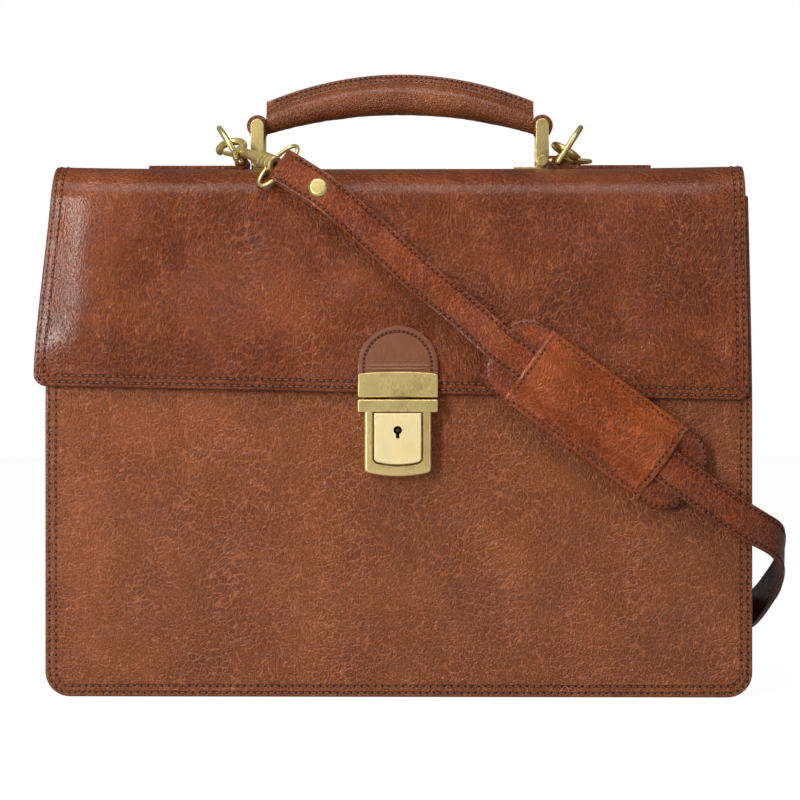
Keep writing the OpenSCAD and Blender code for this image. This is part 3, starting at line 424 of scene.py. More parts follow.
def back_place(u, v):
    x, z, away = rounded_corner((1 - 2 * u) * HALF_WIDE, BACK_HIGH * v, HALF_WIDE, 0, PANEL_CORNER)
    return Vector((x, back_face(x, z, away), z)) * MM, away

back_panel = leather_sheet("back_panel_skin", 100, 74, back_place, PANEL_THICK, "panel_leather",
                           "root", ["back_panel"])
print("panels:", len(front_panel.data.polygons), len(back_panel.data.polygons), "faces")

# %% [markdown]
# ## Gussets and divider
# The sides are two folded strips of thin dark leather with a divider between them. Each strip
# runs down one side, under the case and up the other, and its fold deepens towards the top so
# that the case can close. The fold is a soft arch, not a crease.

# %% Gussets
GUSSET_HALF, GUSSET_R, GUSSET_TOP, BASE = 197.0, 11.0, 268.0, 3.0
GUSSET_FOLD, GUSSET_THICK, PANEL_GAP, DIVIDER_GAP = 16, 1.8, 3.7, 1.3

def gusset_station(v):
    """Place on the strip's way down one side, under the case and up the other, and its inward way."""
    straight, turn, flat = GUSSET_TOP - GUSSET_R - BASE, GUSSET_R * math.pi / 2, 2 * (GUSSET_HALF - GUSSET_R)
    s = v * (2 * straight + 2 * turn + flat)
    mirrored = s > straight + turn + flat / 2
    if mirrored:
        s = 2 * straight + 2 * turn + flat - s
    if s < straight:
        x, z, inward = -GUSSET_HALF, GUSSET_TOP - s, (1, 0)
    elif s < straight + turn:
        a = math.pi + (s - straight) / GUSSET_R
        x, z = GUSSET_R - GUSSET_HALF + GUSSET_R * math.cos(a), GUSSET_R + BASE + GUSSET_R * math.sin(a)
        inward = (-math.cos(a), -math.sin(a))
    else:
        x, z, inward = GUSSET_R - GUSSET_HALF + (s - straight - turn), BASE, (0, 1)
    side = -1 if mirrored else 1
    return side * x, z, side * inward[0], inward[1]

def gusset_rule(near, far):
    def place(u, v):
        x, z, nx, nz = gusset_station(v)
        fold = GUSSET_FOLD * (max(0, z - GUSSET_R - BASE) / (GUSSET_TOP - GUSSET_R - BASE)) ** 0.7
        deep = fold * math.sin(math.pi * u) ** 1.3
        y0, y1 = near(z), far(z)
        return Vector((x + nx * deep, y0 + (y1 - y0) * u, z + nz * deep)) * MM, 9
    return place

def gusset(name, near, far):
    return leather_sheet(f"{name}_skin", 16, 120, gusset_rule(near, far), GUSSET_THICK, "dark_leather",
                         "root", [name], 0.3)

front_gusset = gusset("gusset_front", lambda z: -HALF_DEEP + lean(z, FRONT_HIGH, FRONT_LEAN) + PANEL_GAP,
                      lambda z: -DIVIDER_GAP)
rear_gusset = gusset("gusset_rear", lambda z: DIVIDER_GAP,
                     lambda z: HALF_DEEP - lean(z, BACK_HIGH, BACK_LEAN) - PANEL_GAP)
for node_name in ("divider", "base_panel"):
    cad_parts[node_name].data.materials[0] = finishes["dark_leather"]
print("gussets:", len(front_gusset.data.polygons), len(rear_gusset.data.polygons), "faces")

# %% [markdown]
# ## Flap
# The flap is one broad sheet. It starts at the back edge, runs flat over the top, turns down
# over a round shoulder and hangs against the front with its lower edge standing a little
# proud. On the real case it hangs slightly askew and its side edges curl back, which is what
# catches the long highlight on the left. The rule follows that profile, then adds the curl
# and a gentle unevenness.

# %% Flap
TOP, HINGE_Y, FLAP_LOW, FLAP_CORNER = 303.0, 52.0, 172.0, 7
SHOULDER_Y, SHOULDER_Z, SHOULDER_R, RAKE = -28.669, 278.0, 25.0, math.radians(8)
TOP_RUN = HINGE_Y - SHOULDER_Y
TURN_RUN = SHOULDER_R * (math.pi / 2 - RAKE)
DROP_RUN = (SHOULDER_Z + SHOULDER_R * math.sin(RAKE) - FLAP_LOW) / math.cos(RAKE)
FLAP_RUN = TOP_RUN + TURN_RUN + DROP_RUN

def flap_line(s):
    """Depth and height of the flap's outside at a run from the hinge, and its outward way."""
    if s < TOP_RUN:
        return HINGE_Y - s, TOP, 0.0, 1.0
    if s < TOP_RUN + TURN_RUN:
        a = math.pi / 2 + (s - TOP_RUN) / SHOULDER_R
        ny, nz = math.cos(a), math.sin(a)
        return SHOULDER_Y + SHOULDER_R * ny, SHOULDER_Z + SHOULDER_R * nz, ny, nz
    down = s - TOP_RUN - TURN_RUN
    ny, nz = -math.cos(RAKE), math.sin(RAKE)
    return (SHOULDER_Y + SHOULDER_R * ny - down * math.sin(RAKE),
            SHOULDER_Z + SHOULDER_R * nz - down * math.cos(RAKE), ny, nz)

def ease(value):
    value = min(1, max(0, value))
    return value * value * (3 - 2 * value)

def flap_puff(x, s, away):
    """How far the leather stands out: curled side edges, a soft roll beside them and unevenness,
    all held flat at the lock, at the hem and under the pad."""
    drop = (s - TOP_RUN) / (FLAP_RUN - TOP_RUN)
    curl = 1.7 * (1 - math.exp(-max(0, away - 1) / 13)) * ease(drop * 3)
    near_lock = ease((math.hypot(x / 1.15, max(0, FLAP_RUN - 14 - s)) - 26) / 20)
    hem = ease((FLAP_RUN - s - 6) / 26)
    roll = (1.6 * ease(away / 26) * (1 - ease((away - 40) / 60))
            - 0.9 * (1 - ease(away / 20)) * ease((0.85 - drop) * 5))
    under_pad = 1 - 0.9 * ease((x - 20) / 40) * ease((s - TOP_RUN - TURN_RUN - 35) / 35)
    uneven = 0.45 * undulation(x, s, 46, 7.7) + 0.25 * undulation(x, s, 21, 1.3)
    return ((curl + roll * ease(drop * 3)) * near_lock * hem * under_pad
            + uneven * ease(drop * 3) * near_lock * under_pad * ease(away / 9))

def flap_place(u, v):
    x, low, away = rounded_corner((1 - 2 * u) * HALF_WIDE, FLAP_RUN * (1 - v), HALF_WIDE, 0, FLAP_CORNER)
    s = FLAP_RUN - low
    y, z, ny, nz = flap_line(s)
    out = flap_puff(x, s, away)
    fall = ease((s - TOP_RUN) / (FLAP_RUN - TOP_RUN))
    sag = -1.6 * ease(1 - abs(s - TOP_RUN - 8) / 26) * (1 - (x / HALF_WIDE) ** 4)
    askew = x * (0.989 + 0.022 * fall) - 4.2 * fall
    return Vector((askew, y + ny * out, z + nz * out + sag - 0.021 * x * fall)) * MM, min(away, FLAP_RUN)

flap = leather_sheet("flap_skin", 134, 84, flap_place, 3.3, "case_leather", "flap_body", ["flap"])
print("flap:", len(flap.data.polygons), "faces, run", round(FLAP_RUN, 1), "mm")

# %% [markdown]
# ## Hinge strip
# The real flap is the back panel's leather going on over the top, so nothing may gape where it
# bends. A thin strip lies over that corner, one leg on the panel and one on the flap.

# %% Hinge strip
HINGE_ARC, HINGE_LEG, HINGE_LIFT, HINGE_RIM = 4.2, 9.0, 0.9, 5

def hinge_place(u, v):
    x, s = (1 - 2 * u) * (HALF_WIDE - 0.8), v * (2 * HINGE_LEG + HINGE_ARC * math.pi / 2)
    wall = back_face(x, BACK_HIGH, HINGE_RIM) + HINGE_LIFT
    centre_y, centre_z = wall - HINGE_ARC, TOP + HINGE_LIFT - HINGE_ARC
    if s < HINGE_LEG:
        z = centre_z - HINGE_LEG + s
        return Vector((x, back_face(x, z, HINGE_RIM) + HINGE_LIFT, z)) * MM, min(s, HINGE_RIM)
    if s < HINGE_LEG + HINGE_ARC * math.pi / 2:
        a = (s - HINGE_LEG) / HINGE_ARC
        y, z = centre_y + HINGE_ARC * math.cos(a), centre_z + HINGE_ARC * math.sin(a)
        return Vector((x, y, z)) * MM, HINGE_RIM
    rest = s - HINGE_LEG - HINGE_ARC * math.pi / 2
    return Vector((x, centre_y - rest, TOP + HINGE_LIFT)) * MM, min(HINGE_LEG - rest, HINGE_RIM)

hinge = leather_sheet("flap_hinge_strip", 80, 40, hinge_place, 1.2, "case_leather", None, rim=0.4)
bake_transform(hinge)
print("hinge strip:", len(hinge.data.polygons), "faces")

# %% [markdown]
# ## Shoulder strap
# The strap is one long flat belt of stitched leather. It folds round the eye of the left hook,
# lies over the flap, passes through the sleeve of the pad, turns round the right side and
# climbs behind the case to the right hook. A smooth curve carries a narrow grid along it. It
# follows the solid's route, but stands a few millimetres further off the flap in front, as the
# real strap does. Each end is folded back round the wire loop of an eye.

# %% Strap route
LEFT_EYE, LEFT_WAY = (-65.034, -53.489, 300.21), (0.82744, -0.17262, -0.53436)
LEFT_FACE = (-0.04294, -0.96824, 0.24629)
RIGHT_EYE, RIGHT_WAY = (99.444, 58.925, 312.99), (0.0036, 0.12022, -0.99274)
RIGHT_FACE = (0.02977, 0.99229, 0.12028)
FOLD_R, FOLD_LONG, FOLD_SHARE = 3.0, 29, 0.6

def lap(eye, way, face, s):
    return tuple(Vector(eye) + FOLD_R * Vector(face) + s * Vector(way)), face

route = [lap(LEFT_EYE, LEFT_WAY, LEFT_FACE, s) for s in (0, 12, 24)] + [
    ((-39.3, -62.2, 283.6), (-0.03, -0.97, 0.22)), ((-30.4, -63.7, 276.2), (-0.015, -0.98, 0.18)),
    ((-18.6, -64.8, 265.8), (0, -0.985, 0.15)), ((-3.8, -65.8, 252.3), (0, -0.99, 0.139)),
    ((14, -67.5, 236), (0, -0.99, 0.139)), ((34, -71.7, 220), (0, -0.99, 0.1)),
    ((57.6, -78.2, 198.8), (0, -1, 0)), ((67.3, -78.2, 191.7), (0, -1, 0)), ((111, -78.2, 160), (0, -1, 0)),
    ((153.1, -78.2, 129.4), (0, -1, 0)), ((162.8, -78.2, 122.4), (0, -1, 0)),
    ((184, -77, 107), (0.05, -1, 0)), ((202, -73, 96), (0.35, -0.94, 0)),
    ((213.5, -64.5, 89), (0.8, -0.6, 0)), ((218.5, -50, 80), (0.98, -0.2, 0)),
    ((219.5, -25, 68), (1, 0, 0)), ((217, 0, 57), (1, 0.05, 0)), ((214, 30, 46), (0.98, 0.2, 0)),
    ((210, 56, 38.5), (0.85, 0.53, 0)), ((200, 70, 35.5), (0.45, 0.9, 0)), ((182, 72.5, 38), (0.15, 1, 0)),
    ((163, 72, 47.5), (0, 1, 0)), ((141, 71, 71), (0, 1, 0)), ((121, 70, 108), (0, 1, 0)),
    ((109, 69, 152), (0, 1, 0)), ((103, 67.8, 200), (0, 1, 0)), ((100, 66.5, 250), (0, 1, 0)),
    ((99.86, 65.99, 275.6), (0, 1, 0))] + [
    lap(RIGHT_EYE, RIGHT_WAY, RIGHT_FACE, s) for s in (30, 24, 12, 0)]

def on_curve(points, t):
    """A smooth curve through all points; t counts them."""
    i = min(int(t), len(points) - 2)
    t -= i
    a, b, c, d = (Vector(points[min(max(k, 0), len(points) - 1)]) for k in (i - 1, i, i + 1, i + 2))
    return 0.5 * (2 * b + (c - a) * t + (2 * a - 5 * b + 4 * c - d) * t * t
                  + (3 * b - a - 3 * c + d) * t ** 3)

places, faces = [p for p, f in route], [f for p, f in route]

def belt(t):
    """Place on the strap's route, the way across the strap and its outward way."""
    point, out = on_curve(places, t), on_curve(faces, t).normalized()
    before, after = max(t - 0.02, 0), min(t + 0.02, len(places) - 1)
    ahead = (on_curve(places, after) - on_curve(places, before)).normalized()
    across = out.cross(ahead).normalized()
    return point, across, ahead.cross(across)

def folded(eye, way, face, s):
    """Place and ways on a strap end that turns round the bar of an eye; s runs from 0 to 1."""
    eye, way, face = Vector(eye), Vector(way), Vector(face)
    across = way.cross(face)
    if s < FOLD_SHARE:
        return eye - FOLD_R * face + (FOLD_LONG * (1 - s / FOLD_SHARE)) * way, across, -face
    a = math.pi * (1 - (s - FOLD_SHARE) / (1 - FOLD_SHARE))
    out = math.cos(a) * face - math.sin(a) * way
    return eye + FOLD_R * out, across, out

# %% Strap lengths
STRAP_HALF, STRAP_THICK, REAR_FROM = 10.0, 3.0, 27

def strap_length(name, first, last, cells):
    def place(u, v):
        point, across, out = belt(first + (last - first) * v)
        crown = 0.35 * (1 - (2 * u - 1) ** 2)
        spot = point + across * (1 - 2 * u) * STRAP_HALF + out * (STRAP_THICK / 2 + crown - 0.3)
        return spot * MM, STRAP_HALF * (1 - abs(2 * u - 1))
    return leather_sheet(name, 10, cells, place, STRAP_THICK - 0.3, "strap_leather", None,
                         rim=0.9)

def strap_fold(name, eye, way, face, body):
    def place(u, v):
        point, across, out = folded(eye, way, face, v)
        spot = point + across * (2 * u - 1) * STRAP_HALF + out * STRAP_THICK / 2
        return spot * MM, STRAP_HALF * (1 - abs(2 * u - 1))
    return leather_sheet(name, 8, 26, place, STRAP_THICK - 0.2, "strap_leather", body,
                         rim=0.7)

front_strap = strap_length("strap_front_belt", 0, REAR_FROM, 260)
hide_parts("strap_front", "strap_side")
rear_strap = strap_length("strap_rear_belt", REAR_FROM, len(places) - 1, 80)
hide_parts("strap_rear", "strap_top")
strap_fold("strap_fold_left", LEFT_EYE, LEFT_WAY, LEFT_FACE, "flap_body")
right_fold = strap_fold("strap_fold_right", RIGHT_EYE, RIGHT_WAY, RIGHT_FACE, None)

def run_of(first, last):
    spots = [on_curve(places, first + (last - first) * k / 400) for k in range(401)]
    return sum((b - a).length for a, b in zip(spots, spots[1:]))

print("strap:", round(run_of(0, len(places) - 1)), "mm from eye to eye")

# %% [markdown]
# ## Stitches
# Every seam is a row of single stitches. Each is a small egg of thread, sunk in its groove,
# and between two stitches the awl has left a hole, drawn as a flat near-black egg of painted
# shade. One row is a mesh of thread and a mesh of holes, each of many tiny spheres set along
# a line, every sphere with few faces.

# %% Stitch helper
def small_egg(name, rings):
    shape = bmesh.new()
    bmesh.ops.create_uvsphere(shape, u_segments=6, v_segments=rings, radius=1)
    egg = bpy.data.meshes.new(name)
    shape.to_mesh(egg)
    shape.free()
    return egg

stitch_egg, hole_egg = small_egg("stitch_egg", 4), small_egg("hole_egg", 3)
STITCH_HIGH, STITCH_LIFT, HOLE_LIFT = 0.34, 0.12, 0.02
HOLE_SIZE = (0.76, 0.80, 0.15)

def set_in(row, egg, place):
    one = egg.copy()
    one.transform(place)
    row.from_mesh(one)
    bpy.data.meshes.remove(one)

def seam(name, line, body, pitch=3.9, thick=0.42):
    """line is a list of (point, outward way) in millimetres."""
    thread, hole = bmesh.new(), bmesh.new()
    reach, gap = 0.0, pitch / 2
    for (here, out), (there, _) in zip(line, line[1:]):
        here, there, out = Vector(here), Vector(there), Vector(out).normalized()
        length = (there - here).length
        while reach + length > gap and length > 0:
            point = here.lerp(there, (gap - reach) / length)
            along = (there - here).normalized()
            side = out.cross(along).normalized()
            turned = Matrix((along, side, out)).transposed().to_4x4()
            size = Matrix.Diagonal((pitch * 0.37 * MM, thick * MM, STITCH_HIGH * MM, 1))
            set_in(thread, stitch_egg, Matrix.Translation((point + out * STITCH_LIFT) * MM) @ turned @ size)
            # Each hole is a flat near-black egg: painted shade where the awl went through.
            size = Matrix.Diagonal([part * MM for part in HOLE_SIZE] + [1])
            spot = point + along * pitch / 2 + out * HOLE_LIFT
            set_in(hole, hole_egg, Matrix.Translation(spot * MM) @ turned @ size)
            gap += pitch
        reach += length
    return [made_piece(name, thread, "thread", body),
            made_piece(name + "_holes", hole, "hole_shade", body)]

def panel_line(face, inset, half_w, r, top, front=True):
    """A line round the left, lower and right edges of a panel, inset from its edge."""
    w, q = half_w - inset, r - inset
    corners = [(-w, top)] + [(-w, top - k * (top - r) / 60) for k in range(1, 61)]
    corners += [(-w + q + q * math.cos(a), r + q * math.sin(a)) for a in
                (math.pi + math.pi / 2 * k / 6 for k in range(1, 7))]
    corners += [(-w + q + k * 2 * (w - q) / 100, inset) for k in range(1, 101)]
    corners += [(w - q + q * math.cos(a), r + q * math.sin(a)) for a in
                (-math.pi / 2 + math.pi / 2 * k / 6 for k in range(1, 7))]
    corners += [(w, r + k * (top - r) / 60) for k in range(1, 61)]
    side = -1 if front else 1
    return [((x, face(x, z, inset), z), (0, side, 0)) for x, z in corners]

FRONT_SEAM_TOP, BACK_SEAM_TOP = 283, 296
for row, inset in enumerate(SEAM_ROWS):
    around = panel_line(front_face, inset, HALF_WIDE, PANEL_CORNER, FRONT_SEAM_TOP)
    seam(f"front_seam_{row + 1}", around, "root")
    around = panel_line(back_face, inset, HALF_WIDE, PANEL_CORNER, BACK_SEAM_TOP, False)
    seam(f"back_seam_{row + 1}", around, "root")

def flap_seam_line(inset):
    line = []
    w, low, q = HALF_WIDE - inset, inset, FLAP_CORNER - inset
    path = [(-w, FLAP_RUN - k * (FLAP_RUN - FLAP_CORNER) / 90) for k in range(2, 91)]
    path += [(-w + q + q * math.cos(a), FLAP_CORNER + q * math.sin(a)) for a in
             (math.pi + math.pi / 2 * k / 4 for k in range(1, 5))]
    path += [(-w + q + k * 2 * (w - q) / 100, low) for k in range(1, 101)]
    path += [(w, FLAP_CORNER + k * (FLAP_RUN - 9) / 90) for k in range(0, 89)]
    for x, up in path:
        point, _ = flap_place((1 - x / HALF_WIDE) / 2, 1 - up / FLAP_RUN)
        _, _, ny, nz = flap_line(FLAP_RUN - up)
        line.append((point / MM, (0, ny, nz)))
    return line

for row, inset in enumerate(SEAM_ROWS):
    seam(f"flap_seam_{row + 1}", flap_seam_line(inset), "flap_body")

STRAP_INSET = 2.2

def strap_seam(name, first, last, side):
    line = []
    for k in range(int((last - first) * 12) + 1):
        point, across, out = belt(first + k / 12)
        spot = point + across * side * (STRAP_HALF - STRAP_INSET) + out * (STRAP_THICK / 2 + 0.02)
        line.append((spot, out))
    return seam(name, line, None, 3.4, 0.34)

def both_seams(first, last):
    rows = []
    for side, label in ((-1, "left"), (1, "right")):
        rows += strap_seam(f"strap_seam_{first}_{label}", first, last, side)
    return rows

front_seams, rear_seams = both_seams(0, REAR_FROM), both_seams(REAR_FROM, len(places) - 1)

# %% Strap transforms
for thing in [front_strap] + front_seams:
    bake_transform(thing)
for thing in [rear_strap, right_fold] + rear_seams:
    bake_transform(thing)

# %% [markdown]
# ## Lock
# The lock is a cast case with a bevelled frame, a top bar, a sprung button with a keyhole and
# a hasp plate that is riveted to a leather tab on the flap. Most metal pieces start as one
# face drawn from its outline, which is extruded to its thickness and gets its edges rounded
# by a bevel, because a cast edge always catches a thin line of light. The frame is bridged
# from rings instead, so that it has a real window. The keyhole is a real hole as well, cut by
# a punch with a Boolean, and a near-black plate deep inside it is painted shade. The hasp
# carries a slotted tongue that hangs into the case, painted nearly black as painted shade.

# %% Plates
def shield(w, low, top, corner=1.6):
    """Outline of a shield with a shallow bowed lower edge and round lower corners, from the left."""
    h, r = w / 2, w * 1.9
    def bow(x):
        return low + r - math.sqrt(r * r - x * x)
    turn = [(h, bow(h) + corner), (h - 0.29 * corner, bow(h) + 0.29 * corner),
            (h - corner, bow(h - corner))]
    right = [(x, bow(x)) for x in ((h - corner) * k / 6 for k in range(6))] + turn[::-1] + [(h, top)]
    return [(-x, z) for x, z in right[:0:-1]] + right

def plate(outline, y0, y1, tilt=None):
    """A flat plate in X and Z between two depths; tilt lays it on the flap's slope."""
    shape = bmesh.new()
    back = shape.faces.new([shape.verts.new(Vector((x, y1, z)) * MM) for x, z in outline])
    grown = bmesh.ops.extrude_face_region(shape, geom=[back])["geom"]
    bmesh.ops.translate(shape, verts=[v for v in grown if isinstance(v, bmesh.types.BMVert)],
                        vec=(0, (y0 - y1) * MM, 0))
    bmesh.ops.recalc_face_normals(shape, faces=shape.faces)
    if tilt:
        bmesh.ops.transform(shape, matrix=tilt, verts=shape.verts)
    return shape

def hardened(piece):
    """Keeps wide faces flat in the light, so only the rounded edges shade softly."""
    even = piece.modifiers.new("even light", "WEIGHTED_NORMAL")
    even.weight, even.keep_sharp = 100, True
    return settled(piece)

def round_edges(shape, width, segments=3, sharper=25):
    edges = [e for e in shape.edges
             if len(e.link_faces) == 2 and e.calc_face_angle() > math.radians(sharper)]
    bmesh.ops.bevel(shape, geom=edges, offset=width * MM, offset_type="OFFSET", affect="EDGES",
                    segments=segments, profile=0.5, material=-1, clamp_overlap=True)
    return shape

# %% Lock case
CASE_TOP, CASE_FRONT, CASE_LOW = 168.2, -76.0, 125.0
BAR_LOW, LOCK_HALF = CASE_TOP - 7, 22.5

def case_frame():
    """Shields bridged from the back over the bevelled front and in again, so there is a window."""
    shape, rings = bmesh.new(), []
    for w, low, y, corner in (
            (37.6, CASE_LOW, -65.0, 1.5), (37.6, CASE_LOW, CASE_FRONT + 1.7, 1.5),
            (37.3, CASE_LOW + 0.15, CASE_FRONT + 0.9, 1.5), (36.4, CASE_LOW + 0.6, CASE_FRONT + 0.3, 1.4),
            (34.8, CASE_LOW + 1.4, CASE_FRONT, 1.3), (28.9, 130.5, CASE_FRONT, 2.0),
            (28.3, 130.8, CASE_FRONT + 0.35, 2.0), (28.1, 130.9, -66.8, 2.0)):
        corners = [shape.verts.new(Vector((x, y, z)) * MM) for x, z in shield(w, low, BAR_LOW + 0.4, corner)]
        rings.append([shape.edges.new((a, b)) for a, b in zip(corners, corners[1:] + corners[:1])])
    for near, far in zip(rings, rings[1:]):
        bmesh.ops.bridge_loops(shape, edges=near + far)
    bmesh.ops.holes_fill(shape, edges=rings[0] + rings[-1])
    bmesh.ops.recalc_face_normals(shape, faces=shape.faces)
    return shape

brass = "antique_brass"
hardened(made_piece("lock_frame", case_frame(), brass, "root", ["lock_case"]))
bar = plate([(-LOCK_HALF, BAR_LOW), (LOCK_HALF, BAR_LOW), (LOCK_HALF, CASE_TOP), (-LOCK_HALF, CASE_TOP)],
            CASE_FRONT - 0.4, -65.2)
hardened(made_piece("lock_bar", round_edges(bar, 0.7), brass, "root"))

# %% Button with its keyhole
KEY_Z, KEY_R, KEY_SLOT_HALF, KEY_SLOT_LOW = 151, 2.4, 1.0, 146.4
SLOT_ANGLE = 0.43

def keyhole_outline():
    """A slot below a round hole; the arc starts and ends where the slot meets it."""
    turns = (SLOT_ANGLE + (2 * math.pi - 2 * SLOT_ANGLE) * i / 22 for i in range(23))
    arc = [(KEY_R * math.sin(a), KEY_Z - KEY_R * math.cos(a)) for a in turns]
    return [(KEY_SLOT_HALF, KEY_SLOT_LOW)] + arc + [(-KEY_SLOT_HALF, KEY_SLOT_LOW)]

button = plate(shield(26.5, 131.8, 160.6), CASE_FRONT - 0.5, -72.0)
lock_button = made_piece("lock_button_face", round_edges(button, 0.6), "pale_gold", "button_body",
                         ["lock_button"])
punch = made_piece("keyhole_punch", plate(keyhole_outline(), -80.0, -70.0), "hole_shade", None)
cut = lock_button.modifiers.new("keyhole", "BOOLEAN")
cut.operation, cut.solver, cut.object = "DIFFERENCE", "EXACT", punch
settled(lock_button)
bpy.data.objects.remove(punch)
hardened(smoothed(lock_button))
# A near-black plate deep in the keyhole: painted shade.
made_piece("keyhole_shade_plate", plate(keyhole_outline(), -71.9, -71.6), "hole_shade", "button_body")

# %% Hasp plate and leather tab
FLAP_LOW_Y = -68.812
slope = Matrix.Translation(Vector((0, FLAP_LOW_Y, FLAP_LOW)) * MM) @ Matrix.Rotation(-RAKE, 4, "X")
HASP_LOW, HASP_SIDE, HASP_BOW = -2.9, 9.6, 1.6

def hasp_outline():
    points = [(-LOCK_HALF, HASP_LOW), (LOCK_HALF, HASP_LOW), (LOCK_HALF, HASP_SIDE)]
    points += [(LOCK_HALF * math.cos(a) if i else 21.6, 9.9 + HASP_BOW * math.sin(a)) for i, a in
               enumerate(math.pi * k / 12 for k in range(1, 12))]
    return points + [(-LOCK_HALF, HASP_SIDE)]

hardened(made_piece("hasp_plate_face", round_edges(plate(hasp_outline(), -3.9, -1.7, slope), 0.75),
                    brass, "flap_body", ["hasp_plate"]))

def tongue():
    """A slotted plate that hangs into the case, and the arm that carries it behind the hasp plate."""
    shape, rings = bmesh.new(), []
    for half, low, high, y in ((5, 165.2, 171.4, -70.9), (3.5, 165.6, 168.4, -70.9),
                               (3.5, 165.6, 168.4, -69.4), (5, 165.2, 171.4, -69.4)):
        rings.append([shape.verts.new(Vector((x, y, z)) * MM) for x, z in
                      ((-half, low), (half, low), (half, high), (-half, high))])
    for near, far in zip(rings, rings[1:] + rings[:1]):
        for k in range(4):
            shape.faces.new((near[k - 1], near[k], far[k], far[k - 1]))
    bmesh.ops.create_cube(shape, size=MM, matrix=Matrix.Translation(Vector((0, -70.8, 170.75)) * MM)
                          @ Matrix.Diagonal((9.9, 2.4, 1.2, 1)))
    bmesh.ops.recalc_face_normals(shape, faces=shape.faces)
    return shape

# The tongue is painted nearly black: painted shade in the slot above the case.
made_piece("hasp_tongue", round_edges(tongue(), 0.12, 1), "painted_shade_brass", "flap_body")

# %% Leather tab with its seam
TAB_HIGH, TAB_SEAM_R = 38.0, 19.2

def tab_place(u, v):
    """A half-round tab: the grid's upper corners are drawn onto a circle, above two creases."""
    x, down, away = rounded_corner((2 * u - 1) * LOCK_HALF, (1 - v) * TAB_HIGH, LOCK_HALF, 0,
                                   LOCK_HALF - 0.1)
    z = TAB_HIGH - down
    crease = 0.75 * math.exp(-((z - 13.2) / 0.6) ** 2) + 0.7 * math.exp(-((z - 15.0) / 0.55) ** 2)
    hump = 0.5 * (1 - math.exp(-away / 5)) + crease * (1 - (x / 24) ** 2)
    return slope @ (Vector((x, -2.0 - hump, z)) * MM), away

leather_sheet("lock_tab_skin", 36, 90, tab_place, 1.6, "tab_leather", "flap_body", ["lock_tab"], rim=0.5)
turns = [math.pi * k / 40 for k in range(1, 40)]
arch = [(-TAB_SEAM_R, 9 + k) for k in range(0, 7)]
arch += [(-TAB_SEAM_R * math.cos(a), 15.6 + TAB_SEAM_R * math.sin(a)) for a in turns]
arch += [(TAB_SEAM_R, 15 - k) for k in range(0, 7)]
tab_out = (0, -math.cos(RAKE), math.sin(RAKE))
seam("tab_seam", [((slope @ (Vector((x, -2.35, z)) * MM)) / MM, tab_out) for x, z in arch],
     "flap_body", 2.5, 0.3)
print("lock: frame, bar, button, keyhole, hasp and tab")

# %% [markdown]
# ## Shoulder pad
# The pad is a soft leather cushion with round ends, and a sleeve is sewn across it that the
# strap passes through. The cushion is swollen by a short cloth simulation: a flat closed form
# is remeshed, filled with pressure and left to settle, and no point may move more than a few
# millimetres. Its stitches are dropped onto the settled skin by casting rays, so they lie on
# it wherever the filling went. The sleeve is a sheet that lies on the pad at its edges and
# humps over the strap.

# %% Pad place
PAD_X, PAD_Y, PAD_Z, PAD_SLOPE = 111.0, -69.512, 160.0, math.radians(36)
pad_place = Matrix.Translation(Vector((PAD_X, PAD_Y, PAD_Z)) * MM) @ Matrix.Rotation(PAD_SLOPE, 4, "Y")
PAD_LONG, PAD_WIDE, PAD_END = 72.0, 27.0, 21.0

CORE_INSET, VOXEL, FILL_LIMIT, FILL_FRAMES = 1.4, 2.6, 2.6, 20
PAD_SEAM = 3.4

def pad_outline(inset, count=8):
    """The pad's outline, drawn in by an inset, with count steps to each round corner."""
    points = []
    ahead, up = PAD_LONG - PAD_END, PAD_WIDE - PAD_END
    for start, (cx, cz) in enumerate(((ahead, up), (-ahead, up), (-ahead, -up), (ahead, -up))):
        for i in range(count + 1):
            a = math.pi / 2 * (start + i / count)
            points.append((cx + (PAD_END - inset) * math.cos(a), cz + (PAD_END - inset) * math.sin(a)))
    return points

# %% Pad cushion
def pad_away(u, w):
    """Distance of a place on the pad from its edge, inwards."""
    over, under = abs(u) - (PAD_LONG - PAD_END), abs(w) - (PAD_WIDE - PAD_END)
    if over > 0 and under > 0:
        return PAD_END - math.hypot(over, under)
    return min(PAD_LONG - abs(u), PAD_WIDE - abs(w))

def swollen(body):
    """Fills the core by a short cloth simulation, and keeps every point near where it was."""
    before = [v.co.copy() for v in body.data.vertices]
    cloth = body.modifiers.new("fill", "CLOTH")
    cloth.settings.use_pressure = True
    cloth.settings.uniform_pressure_force = 4
    cloth.settings.effector_weights.gravity = 0
    for frame_number in range(1, FILL_FRAMES + 1):
        bpy.context.scene.frame_set(frame_number)
    settled(body)
    bpy.context.scene.frame_set(1)
    for v, start in zip(body.data.vertices, before):
        move = v.co - start
        v.co = start + move * min(1, FILL_LIMIT * MM / max(move.length, 1e-9))

def cushion():
    core = made_piece("shoulder_pad_cushion", plate(pad_outline(CORE_INSET), -4.2, -0.8),
                      "strap_leather", None)
    grid = core.modifiers.new("even", "REMESH")
    grid.mode, grid.voxel_size = "VOXEL", VOXEL * MM
    settled(core)
    swollen(core)
    edge = core.data.attributes.new("edge", "FLOAT", "POINT")
    for v in core.data.vertices:
        u, out, w = v.co / MM
        away = max(0, pad_away(u, w) + 0.6)
        seam_dip = math.exp(-((away - PAD_SEAM) / 1.3) ** 2)
        out = min(out, -0.05)
        if out < -2.5:
            out = out + 1.1 * seam_dip
        v.co = pad_place @ (Vector((u, out, w)) * MM)
        edge.data[v.index].value = away
    finer = core.modifiers.new("finer", "SUBSURF")
    finer.levels = finer.render_levels = 1
    return smoothed(settled(core), 80)

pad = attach(cushion(), "flap_body")
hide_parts("shoulder_pad")
print("cushion:", len(pad.data.polygons), "faces")

